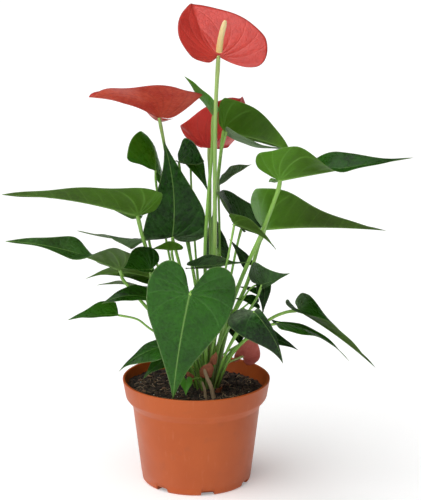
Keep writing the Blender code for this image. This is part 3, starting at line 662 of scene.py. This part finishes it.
def axes_of(row):
    """(junction, length, the blade's own axes: ahead, sideways and up)."""
    junction, tip = np.array(row["junction"], float), np.array(row["tip"], float)
    length = np.linalg.norm(tip - junction)
    ahead = (tip - junction) / length
    upper = np.array(row["face"], float)
    upper = upper - upper.dot(ahead) * ahead
    upper = upper / np.linalg.norm(upper)
    return junction, length, np.array([ahead, np.cross(upper, ahead), upper])


def sheet_normals(points, quads):
    """Each point's normal from the quads round it."""
    corners = points[quads]
    facing = np.cross(corners[:, 2] - corners[:, 0], corners[:, 3] - corners[:, 1])
    total = np.zeros_like(points)
    for corner in range(4):
        np.add.at(total, quads[:, corner], facing)
    return total / np.maximum(np.linalg.norm(total, axis=1, keepdims=True), 1e-12)


def blade(name, row, half, thickness, pillows, mats, slot, replaces, seed):
    """A closed thin blade: its upper side in the first material and its underside in the second."""
    junction, length, axes = axes_of(row)
    stations = int(28 + length / 3)
    rings = int(9 + length / 7)
    side = smooth_points(half[1:], stations)
    canon = np.vstack([side, side[::-1][1:] * (1, -1)])
    count = len(canon)
    lobe = np.where(canon[:, 1] >= 0, row.get("back_left", 1), row.get("back_right", 1))
    wide = np.where(canon[:, 1] >= 0, row.get("left", 1), row.get("right", 1))
    rim = np.stack([canon[:, 0] * np.where(canon[:, 0] < 0, lobe, 1), canon[:, 1] * wide], 1)
    share = (np.arange(1, rings + 1) / rings) ** 0.9
    flat = np.vstack([[0, 0], (share[:, None, None] * rim).reshape(-1, 2)])
    unit = np.vstack([[0, 0], (share[:, None, None] * canon).reshape(-1, 2)])
    edge = np.concatenate([[0], np.repeat(share, count)])
    place = bend(flat[:, 0], flat[:, 1], row)
    round_edge = np.concatenate([[0], np.tile(np.linspace(0, 1, count), rings)])
    wave = row.get("wave", WAVE)
    ripple = np.sin(round_edge * 2 * math.pi * row.get("waves", 4) + seed * 1.7)
    ripple = ripple + 0.5 * np.sin(round_edge * 2 * math.pi * 9 + seed * 2.9)
    place[:, 2] += wave * edge**3 * ripple
    along, across = unit[:, 0], unit[:, 1]
    place[:, 2] += QUILT * pillows(along, across) * (1 - edge**6)
    points = junction + length * place @ axes
    starts = [1 + r * count + i for r in range(rings - 1) for i in range(count - 1)]
    quads = [(n, n + 1, n + count + 1, n + count) for n in starts]
    fans = [(0, 1 + i, 1 + i + 1, 1 + i + 1) for i in range(count - 1)]
    normals = sheet_normals(points, np.array(fans + quads))
    normals[0] = axes[2] * np.sign(normals[1:].sum(0).dot(axes[2]))
    if normals.sum(0).dot(axes[2]) < 0:
        normals = -normals
    groove = np.clip(1 - np.abs(across) / 0.03, 0, 1) ** 2 * np.clip(along * 30 + 1, 0, 1)
    groove = groove * (1 - np.clip(along, 0, 1) ** 2)
    thin = thickness / 2 * (1 - 0.5 * edge[:, None] ** 4)
    keel = groove[:, None] * KEEL * length * 0.9
    upper = points + normals * (thin + keel * 0.15)
    lower = points - normals * (thin + keel)
    total = len(points)
    faces, picks = [], []
    for i in range(count - 1):
        faces += [(0, i + 2, i + 1), (total, total + i + 1, total + i + 2)]
        picks += [0, 1]
    for a, b, c, d in quads:
        faces += [(a, b, c, d), (total + d, total + c, total + b, total + a)]
        picks += [0, 1]
    border = [0] + [1 + r * count for r in range(rings)]
    border += [1 + (rings - 1) * count + i for i in range(1, count)]
    border += [1 + r * count + count - 1 for r in range(rings - 2, -1, -1)]
    for a, b in zip(border, border[1:] + border[:1]):
        faces.append((a, b, total + b, total + a))
        picks.append(1)
    blade_values = np.stack([along, across, edge], 1)
    near, far = row.get("tone", 0.5), row.get("tone_tip", row.get("tone", 0.5))
    shade = near + (far - near) * np.clip(along * 2.2, 0, 1)
    # How much painted grey sheen, standing in for reflection, each point carries, more on the lobes.
    sheen = row.get("sheen", 0) + row.get("lobe_sheen", 0) * np.clip(0.5 - along * 8, 0, 1)
    tone = np.stack([shade, sheen, np.zeros_like(shade)], 1)
    made = new_piece(name, np.vstack([upper, lower]) * MM, faces, mats, slot, replaces, picks,
                     blade=np.vstack([blade_values] * 2), tone=np.vstack([tone] * 2))
    face_outwards(made)


def leaf_pillows(along, across):
    """The soft swelling of a leaf between its veins, least on a vein."""
    out = np.abs(across)
    reach = np.sqrt(along * along + out * out + NEVER_ZERO)
    start = vein_start(along, out)
    turn = np.arctan2(out, along * -1) - reach * BASAL_VEIN_SWEEP
    side = np.abs(np.sin(math.pi * start / SIDE_VEIN_SPACING))
    basal = np.abs(np.sin(math.pi * (turn - BASAL_VEIN_OFFSET) / BASAL_VEIN_TURN)) * np.clip(reach * 6, 0, 1)
    share = np.clip(start * 12 + 0.3, 0, 1)
    return (side * share + basal * (1 - share)) * np.clip(out * 18, 0, 1) - 0.4


def spathe_pillows(along, across):
    """The same for a spathe."""
    out = np.abs(across)
    reach = np.sqrt(along * along + out * out + NEVER_ZERO)
    turn = np.arctan2(out, along * -1) - reach * SPATHE_VEIN_SWEEP
    swell = np.abs(np.sin(math.pi * (turn - SPATHE_VEIN_OFFSET) / SPATHE_VEIN_TURN))
    return swell * np.clip(reach * 4, 0, 1) - 0.5


def face_outwards(obj):
    """Turns the whole closed shape round if it is inside out."""
    mesh = obj.data
    mesh.calc_loop_triangles()
    corners = np.empty(len(mesh.loop_triangles) * 3, np.int32)
    mesh.loop_triangles.foreach_get("vertices", corners)
    points = np.empty(len(mesh.vertices) * 3, np.float32)
    mesh.vertices.foreach_get("co", points)
    if np.linalg.det(points.reshape(-1, 3).astype(float)[corners.reshape(-1, 3)]).sum() < 0:
        mesh.flip_normals()


def tube_faces(first, rings, sides):
    """The quads round a tube whose points start at first, then its two ends."""
    faces = []
    for ring in range(rings - 1):
        near, far = first + ring * sides, first + (ring + 1) * sides
        faces += [(near + k, near + (k + 1) % sides, far + (k + 1) % sides, far + k) for k in range(sides)]
    faces.append(tuple(first + k for k in range(sides))[::-1])
    faces.append(tuple(first + (rings - 1) * sides + k for k in range(sides)))
    return faces


def tube(name, path, radii, sides, mats, slot, replaces=(), bumps=None):
    """A closed round tube along the path. bumps(height, turn) gives a part to add to the radius."""
    path = np.asarray(path, float)
    ahead = np.gradient(path, axis=0)
    ahead = ahead / np.linalg.norm(ahead, axis=1, keepdims=True)
    across = np.array([1.0, 0.0, 0.0])
    turns = 2 * math.pi * np.arange(sides) / sides
    verts, values = [], []
    steps = np.linspace(0, 1, len(path))
    for centre, forward, radius, height in zip(path, ahead, radii, steps):
        across = across - across.dot(forward) * forward
        across = across / np.linalg.norm(across)
        other = np.cross(forward, across)
        bump = bumps(height, turns) if bumps else np.zeros(sides)
        ring = np.cos(turns)[:, None] * across + np.sin(turns)[:, None] * other
        verts.extend(centre + radius * (1 + bump)[:, None] * ring)
        values.extend(zip([height] * sides, turns / (2 * math.pi), bump * 10))
    faces = tube_faces(0, len(path), sides)
    new_piece(name, np.array(verts) * MM, faces, mats, slot, replaces, stalk=np.array(values))


def gathered(x, y, z):
    """A stalk's point drawn in towards the crown, more the nearer it is to the soil."""
    pull = CROWN_PULL * min(max((CROWN_REACH - z) / (CROWN_REACH - SOIL_TOP), 0), 1)
    return x + (CROWN[0] - x) * pull, y + (CROWN[1] - y) * pull, z


def stalk(name, row, mats, slot, replaces):
    """A petiole or stem from inside the soil to its blade, a little thicker at both ends."""
    points = [gathered(x, y, z or STALK_FOOT) for x, y, z in row["stalk"]] + [row["junction"]]
    route = smooth_points(points, 10 * len(points))
    gaps = np.linalg.norm(np.diff(route, axis=0), axis=1)
    height = np.concatenate([[0], np.cumsum(gaps)]) / gaps.sum()
    radius = row["radius"]
    thick = 1 - 0.12 * height + 0.1 * np.exp(-height * 25)
    thick += STALK_KNEE * np.exp(-(((height - 0.965) / 0.03) ** 2))

    def ribs(level, turns):
        return 0.02 * np.cos(turns * 5) + 0.015 * np.cos(turns * 9 + 1)

    tube(name, route, radius * thick, 20, mats, slot, replaces, ribs)


def spadix(name, row, mats):
    """The flower's spike, covered with small bumps in a crossed spiral."""
    route = smooth_points(row["spadix"], 90)
    height = np.linspace(0, 1, len(route))
    radii = row["spadix_radius"] * (1.02 - 0.22 * height) * np.sqrt(np.clip(1 - height**14, 0.02, 1))

    def bumps(level, turns):
        return 0.07 * np.cos(turns * 9 + level * 90) * np.cos(turns * 9 - level * 90)

    tube(name + "_spadix_spike", route, radii, 54, mats, "spadix", [name + "_spadix"], bumps)


# ---------------------------------------------------------------- pot and soil

def turned(profile, steps):
    """Points and faces of a shape turned about Z. The profile runs down its outer side."""
    turns = 2 * math.pi * np.arange(steps) / steps
    verts, rings = [], []
    for x, z in profile:
        first = len(verts)
        if x < 1e-9:
            verts.append((0, 0, z))
            rings.append([first] * steps)
        else:
            verts += [(x * math.cos(t), x * math.sin(t), z) for t in turns]
            rings.append(list(range(first, first + steps)))
    faces = []
    for upper, lower in zip(rings, rings[1:]):
        for k in range(steps):
            n = (k + 1) % steps
            face = [upper[k], lower[k], lower[n], upper[n]]
            faces.append(tuple(dict.fromkeys(face)))
    return verts, faces


def rounded(profile, bends):
    """The profile with each corner listed in bends, as {corner: radius}, rounded off."""
    found = []
    for i, point in enumerate(profile):
        if i not in bends:
            found.append(point)
            continue
        here = Vector(point)
        before = (Vector(profile[i - 1]) - here).normalized()
        after = (Vector(profile[i + 1]) - here).normalized()
        for step in range(5):
            t = step / 4
            start, end = here + before * bends[i], here + after * bends[i]
            found.append(tuple((1 - t) ** 2 * start + 2 * t * (1 - t) * here + t * t * end))
    return found


def build_pot(mat):
    """The pot's wall from the middle of its floor, up the inside and down the outside to its foot."""
    neck = POT_HEIGHT - BAND_DEPTH - CHAMFER_DEPTH
    band_foot = POT_HEIGHT - BAND_DEPTH
    taper = (NECK_RADIUS - FOOT_RADIUS) / (neck - WALL)
    at_line = FOOT_RADIUS + taper * (MOULD_LINE - WALL)
    step = 0.25 * MM
    profile = (
        (0, FLOOR),
        (FOOT_RADIUS - 2 * WALL, FLOOR),
        (FOOT_RADIUS - WALL, FLOOR + WALL),
        (NECK_RADIUS - WALL, neck + WALL / 2),
        (BAND_FOOT_RADIUS - RIM_WALL, band_foot + WALL / 2),
        (RIM_RADIUS - RIM_WALL, POT_HEIGHT),
        (RIM_RADIUS, POT_HEIGHT),
        (BAND_FOOT_RADIUS, band_foot),
        (NECK_RADIUS, neck),
        (at_line, MOULD_LINE),
        (at_line - step, MOULD_LINE - step),
        (FOOT_RADIUS - step, WALL),
        (FOOT_RADIUS - WALL, 0),
        (0, 0),
    )
    bends = {3: 2 * MM, 4: 2 * MM, 5: 0.9 * MM, 6: 1.1 * MM, 7: 1.2 * MM, 8: 1.6 * MM, 11: 0.8 * MM}
    verts, faces = turned(rounded(profile, bends), 144)
    pot = new_piece("nursery_pot", verts, faces, [mat], "pot", ["pot"])
    pot.data.set_sharp_from_angle(angle=math.radians(50))
    turns = [NOTCH_TURN + 2 * math.pi * notch / NOTCHES for notch in range(NOTCHES)]
    cut_notches(pot, [(math.sin(turn), -math.cos(turn)) for turn in turns])


def cut_notches(pot, directions):
    """Cuts the drainage notches out of the pot's foot, then drops the cutter."""
    verts, faces = [], []
    sides = len(NOTCH_OUTLINE)
    for x, y in directions:
        first = len(verts)
        for reach in (NOTCH_REACH, RIM_RADIUS):
            for across, height in NOTCH_OUTLINE:
                beside = across * NOTCH_WIDTH
                verts.append((x * reach + y * beside, y * reach - x * beside, height * NOTCH_HEIGHT))
        faces.append(tuple(first + k for k in range(sides)))
        faces.append(tuple(first + sides + k for k in range(sides))[::-1])
        for k in range(sides):
            n = (k + 1) % sides
            faces.append((first + k, first + sides + k, first + sides + n, first + n))
    mesh = bpy.data.meshes.new("notch_cutter")
    mesh.from_pydata(verts, [], faces)
    cutter = bpy.data.objects.new("notch_cutter", mesh)
    bpy.context.scene.collection.objects.link(cutter)
    face_outwards(cutter)
    cut = pot.modifiers.new("Notches", "BOOLEAN")
    cut.object = cutter
    graph = bpy.context.evaluated_depsgraph_get()
    graph.update()
    made = bpy.data.meshes.new_from_object(pot.evaluated_get(graph))
    pot.modifiers.clear()
    pot.data = made
    bpy.data.objects.remove(cutter)


def soil_height(x, y):
    """The soil's surface, higher at the left and heaped round the stems, with clods and hollows."""
    slope = 97.5 - 3.0 * x / 70 - 2.0 * y / 70
    heap = 6.0 * math.exp(-((x - 10) ** 2 + (y + 22) ** 2) / 650)
    place = Vector((x, y, 0))
    clods = 1.6 * noise.noise(place * 0.07) + 1.5 * noise.noise(place * 0.19)
    clods += 0.9 * noise.noise(place * 0.45) + 0.45 * noise.noise(place * 1.1)
    return slope + heap + clods


def build_soil(mat):
    """The soil's uneven top, out to the pot's wall, and its sides and flat underside within the pot."""
    rings, steps, outer = 74, 200, 71.5
    verts, faces = [(0, 0, soil_height(0, 0))], []
    for ring in range(1, rings + 1):
        radius = outer * ring / rings
        for k in range(steps):
            turn = 2 * math.pi * k / steps
            x, y = radius * math.cos(turn), radius * math.sin(turn)
            verts.append((x, y, soil_height(x, y)))
    for low, radius in ((90, 68), (78, 62.5), (8, 52)):
        for k in range(steps):
            turn = 2 * math.pi * k / steps
            verts.append((radius * math.cos(turn), radius * math.sin(turn), low))
    verts.append((0, 0, 8))
    faces += [(0, 1 + k, 1 + (k + 1) % steps) for k in range(steps)]
    for ring in range(rings + 2):
        first = 1 + ring * steps
        for k in range(steps):
            n = (k + 1) % steps
            faces.append((first + k, first + steps + k, first + steps + n, first + n))
    last = 1 + (rings + 2) * steps
    faces += [(last + k, last + steps, last + (k + 1) % steps) for k in range(steps)]
    new_piece("soil_bed", np.array(verts) * MM, faces, [mat], "soil", ["soil"])


# A rough lump's twelve corners and twenty faces, before it is pushed out of shape.
BALL = (
    (0, 0, 1), (0.894, 0, 0.447), (0.276, 0.851, 0.447), (-0.724, 0.526, 0.447), (-0.724, -0.526, 0.447),
    (0.276, -0.851, 0.447), (0.724, 0.526, -0.447), (-0.276, 0.851, -0.447), (-0.894, 0, -0.447),
    (-0.276, -0.851, -0.447), (0.724, -0.526, -0.447), (0, 0, -1),
)
BALL_FACES = (
    (0, 1, 2), (0, 2, 3), (0, 3, 4), (0, 4, 5), (0, 5, 1), (1, 6, 2), (2, 7, 3), (3, 8, 4), (4, 9, 5),
    (5, 10, 1), (6, 7, 2), (7, 8, 3), (8, 9, 4), (9, 10, 5), (10, 6, 1), (11, 7, 6), (11, 8, 7),
    (11, 9, 8), (11, 10, 9), (11, 6, 10),
)


def scatter(name, count, sizes, squash, mat, seed):
    """Loose pieces lying on the soil, each a rough lump of its own shape."""
    random = np.random.default_rng(seed)
    verts, faces, tones = [], [], []
    ball = np.array(BALL)
    for _ in range(count):
        turn, radius = random.uniform(0, 2 * math.pi), LITTER_REACH * math.sqrt(random.uniform(0, 1))
        x, y = radius * math.cos(turn), radius * math.sin(turn)
        size = random.uniform(*sizes)
        lump = ball * (1 + random.uniform(-0.28, 0.28, (12, 1))) * size
        lump = lump * (1, random.uniform(0.55, 1), random.uniform(*squash))
        spin, tilt = random.uniform(0, 2 * math.pi), random.normal(0, 0.35)
        turned_lump = lump @ np.array([[math.cos(spin), math.sin(spin), 0],
                                       [-math.sin(spin), math.cos(spin), 0], [0, 0, 1]])
        turned_lump[:, 2] += turned_lump[:, 0] * math.tan(tilt)
        first = len(verts)
        verts.extend(turned_lump + (x, y, soil_height(x, y) + size * 0.25))
        faces.extend(tuple(first + k for k in face) for face in BALL_FACES)
        tones.extend([[random.uniform(0, 1)] * 3] * 12)
    piece = new_piece(name, np.array(verts) * MM, faces, [mat], "soil", tone=np.array(tones))
    piece.data.shade_flat()


def fibres(name, count, mat, seed):
    """Short root and bark fibres lying on the soil."""
    random = np.random.default_rng(seed)
    verts, faces, tones = [], [], []
    sides = 5
    for _ in range(count):
        turn, radius = random.uniform(0, 2 * math.pi), FIBRE_REACH * math.sqrt(random.uniform(0, 1))
        x, y = radius * math.cos(turn), radius * math.sin(turn)
        heading, bow = random.uniform(0, 2 * math.pi), random.normal(0, 0.25)
        length, thick = random.uniform(4, 15), random.uniform(0.18, 0.42)
        first = len(verts)
        stations = 9
        for i in range(stations):
            arch = 0.9 * math.sin(math.pi * i / (stations - 1)) * random.uniform(0.4, 1)
            z = soil_height(x, y) + 0.5 + arch
            for k in range(sides):
                angle = 2 * math.pi * k / sides
                fat = thick * (0.25 if i in (0, stations - 1) else 1)
                verts.append((x - math.sin(heading) * math.cos(angle) * fat,
                              y + math.cos(heading) * math.cos(angle) * fat, z + math.sin(angle) * fat))
            x += math.cos(heading) * length / stations
            y += math.sin(heading) * length / stations
            heading += bow
            if math.hypot(x, y) > FIBRE_TURN_BACK:
                heading += math.pi / 2
        faces += tube_faces(first, stations, sides)
        tones.extend([[random.uniform(0, 1)] * 3] * (stations * sides))
    new_piece(name, np.array(verts) * MM, faces, [mat], "soil", tone=np.array(tones))


def sheath(name, foot, height, radius, turn, opening, lean, mat, seed):
    """A papery sheath: a thin split tube round a stalk's foot, narrowing to a torn point."""
    rings, steps, thick = 16, 18, 0.22
    verts, faces = [], []
    for skin in (0, 1):
        for i in range(rings + 1):
            t = i / rings
            wide = opening * (1 - t ** 2.2) + 0.12
            for k in range(steps + 1):
                angle = turn + (k / steps - 0.5) * wide
                wrinkle = 0.25 * noise.noise(Vector((k * 0.4, i * 0.45, seed)))
                r = radius * (1 + 0.25 * t + 0.12 * math.sin(3 * t)) + wrinkle - skin * thick
                verts.append((foot[0] + r * math.cos(angle) + lean[0] * t * t,
                              foot[1] + r * math.sin(angle) + lean[1] * t * t,
                              foot[2] + height * t * (1 - 0.08 * abs(2 * k / steps - 1))))
    wide = steps + 1
    total = (rings + 1) * wide
    for i in range(rings):
        for k in range(steps):
            a, b = i * wide + k, i * wide + k + 1
            c, d = b + wide, a + wide
            faces += [(a, b, c, d), (total + d, total + c, total + b, total + a)]
    border = list(range(wide)) + [i * wide + steps for i in range(1, rings + 1)]
    border += [rings * wide + k for k in range(steps - 1, -1, -1)]
    border += [i * wide for i in range(rings - 1, 0, -1)]
    for a, b in zip(border, border[1:] + border[:1]):
        faces.append((b, a, total + a, total + b))
    made = new_piece(name, np.array(verts) * MM, faces, [mat], "root", tone=np.full((2 * total, 3), 0.5))
    face_outwards(made)


# ---------------------------------------------------------------- the plant

def build_leaves(top, underside, stalk_mat):
    for index, row in enumerate(LEAVES + JOINED_LEAVES + EXTRA_LEAVES):
        name = row["name"]
        blade_nodes, stalk_nodes = [], []
        if row in LEAVES:
            blade_nodes, stalk_nodes = [name + "_blade"], [name + "_petiole"]
        elif row in JOINED_LEAVES:
            blade_nodes = [name]
        blade(name + "_lamina", row, LEAF_OUTLINE, LEAF_THICKNESS, leaf_pillows, [top, underside],
              "leaf", blade_nodes, index)
        stalk(name + "_stalk", row, [stalk_mat], "petiole", stalk_nodes)


def build_flowers(face, back, stem_mat, spike_mat, old_face):
    for index, row in enumerate(FLOWERS):
        name = row["name"]
        blade(name + "_bract", row, SPATHE_OUTLINE, SPATHE_THICKNESS, spathe_pillows, [face, back],
              "spathe", [name + "_spathe"], FLOWER_SEED + index)
        stalk(name + "_stalk", row, [stem_mat], "flower_stem", [name + "_stem"])
        spadix(name, row, [spike_mat])
    blade("old_flower_bract", OLD_FLOWER, SPATHE_OUTLINE, SPATHE_THICKNESS, spathe_pillows,
          [old_face, old_face], "old_spathe", ["old_flower_spathe"], OLD_FLOWER_SEED)
    stalk("old_flower_stalk", OLD_FLOWER, [stem_mat], "flower_stem", ["old_flower_stem"])


def build_roots(mat):
    for index, row in enumerate(ROOTS):
        points = [(x, y, z or STALK_FOOT) for x, y, z in row["points"]]
        route = smooth_points(points, 40)
        height = np.linspace(0, 1, 40)
        radii = row["radius"] * (1 - 0.25 * height) * np.sqrt(np.clip(1 - height**10, 0.05, 1))

        def knobs(level, turns, index=index):
            place = [noise.noise(Vector((math.cos(t), math.sin(t), level * 9 + index * 7))) for t in turns]
            return 0.22 * np.array(place)

        tube(row["name"] + "_skin", route, radii, 18, [mat], "root", [row["name"]], knobs)


def build_studio():
    mesh = bpy.data.meshes.new("studio_floor")
    corners = [(x * STUDIO_SIZE, y * STUDIO_SIZE, 0) for x, y in ((-1, -1), (1, -1), (1, 1), (-1, 1))]
    mesh.from_pydata(corners, [], [(0, 1, 2, 3)])
    mesh.materials.append(paper_paint())
    floor = bpy.data.objects.new("studio_floor", mesh)
    bpy.context.scene.collection.objects.link(floor)
    build_sky()
    sun("key_light", (-0.85, -0.50, 2.0), 3.0, 80)
    sun("fill_light", (-0.5, -1.0, 0.25), 0.55, 60)
    scene = bpy.context.scene
    scene.view_settings.view_transform = "Standard"
    lens = bpy.data.cameras.new("photo_camera")
    lens.lens = CAMERA_LENS
    lens.sensor_width = 36
    camera = bpy.data.objects.new("photo_camera", lens)
    camera.location = CAMERA_PLACE
    camera.rotation_euler = (CAMERA_TILT, 0, 0)
    scene.collection.objects.link(camera)
    scene.camera = camera


def paper_paint():
    """White paper, with a little light of its own so that the floor doesn't turn grey."""
    paint = Paint("white paper", (0.90, 0.90, 0.90), 0.9)
    grain = paint.noise(300, 3)
    paint.feed("Base Color", paint.blend((0.89, 0.89, 0.89), (0.91, 0.91, 0.91), grain))
    paint.shader.inputs["Emission Color"].default_value = (1, 1, 1, 1)
    paint.shader.inputs["Emission Strength"].default_value = 0.28
    return paint.made


def build_sky():
    """A soft white sky, brightest overhead and to the left."""
    world = bpy.data.worlds.new("studio")
    world.use_nodes = True
    tree = world.node_tree
    sky = tree.nodes["Background"]
    split = tree.nodes.new("ShaderNodeSeparateXYZ")
    tree.links.new(tree.nodes.new("ShaderNodeTexCoord").outputs["Generated"], split.inputs[0])
    left_glow = Wire(tree, split.outputs[0]) * -0.60
    glow = (left_glow + Wire(tree, split.outputs[2]) * 0.85 + 0.30).held()
    tree.links.new(glow.socket, sky.inputs["Strength"])
    bpy.context.scene.world = world


def sun(name, towards, strength, softness):
    """A soft distant light that shines from the direction given. softness is its width in degrees."""
    light = bpy.data.lights.new(name, "SUN")
    light.energy = strength
    light.angle = math.radians(softness)
    obj = bpy.data.objects.new(name, light)
    obj.rotation_euler = (-Vector(towards)).to_track_quat("-Z", "Y").to_euler()
    bpy.context.scene.collection.objects.link(obj)


def main():
    petiole = stalk_paint("petiole", (0.11, 0.13, 0.03), (0.17, 0.38, 0.045), (0.32, 0.58, 0.11),
                          (0.40, 0.62, 0.16))
    stem = stalk_paint("flower stem", (0.22, 0.16, 0.06), (0.16, 0.42, 0.05), (0.46, 0.64, 0.20),
                       (0.50, 0.50, 0.16))
    build_pot(pot_paint())
    build_soil(soil_paint())
    crumb = crumb_paint("crumb", (0.006, 0.004, 0.003), (0.075, 0.045, 0.03), 0.85)
    scatter("soil_crumbs", 1500, (0.5, 2.1), (0.5, 0.9), crumb, 3)
    bark = crumb_paint("bark", (0.05, 0.024, 0.012), (0.24, 0.13, 0.07), 0.85)
    scatter("bark_chips", 70, (1.5, 3.2), (0.22, 0.4), bark, 5)
    perlite = crumb_paint("perlite", (0.55, 0.52, 0.46), (0.85, 0.83, 0.78), 0.9)
    scatter("white_grains", 34, (0.5, 1.1), (0.7, 1.0), perlite, 7)
    fibres("soil_fibres", 260, crumb_paint("fibre", (0.06, 0.035, 0.02), (0.42, 0.30, 0.18), 0.85), 11)
    build_leaves(leaf_top(), leaf_underside(), petiole)
    face = spathe_face("spathe face", (0.60, 0.052, 0.042), (0.80, 0.085, 0.062), (0.88, 0.17, 0.13),
                       0.34, (0.95, 0.16, 0.10))
    back = spathe_face("spathe back", (0.50, 0.040, 0.024), (0.86, 0.170, 0.085), (0.34, 0.030, 0.020),
                       0.40, (1.0, 0.16, 0.08))
    old = spathe_face("faded spathe", (0.60, 0.11, 0.095), (0.80, 0.24, 0.20), (0.85, 0.38, 0.30),
                      0.5, (1.0, 0.35, 0.25))
    build_flowers(face, back, stem, spadix_paint(), old)
    build_roots(crumb_paint("root skin", (0.36, 0.26, 0.15), (0.62, 0.50, 0.34), 0.8))
    papery = crumb_paint("papery sheath", (0.20, 0.045, 0.02), (0.46, 0.15, 0.06), 0.6)
    for index, row in enumerate(SHEATHS):
        sheath(f"papery_sheath_{index + 1}", *row, papery, index)
    build_studio()


main()
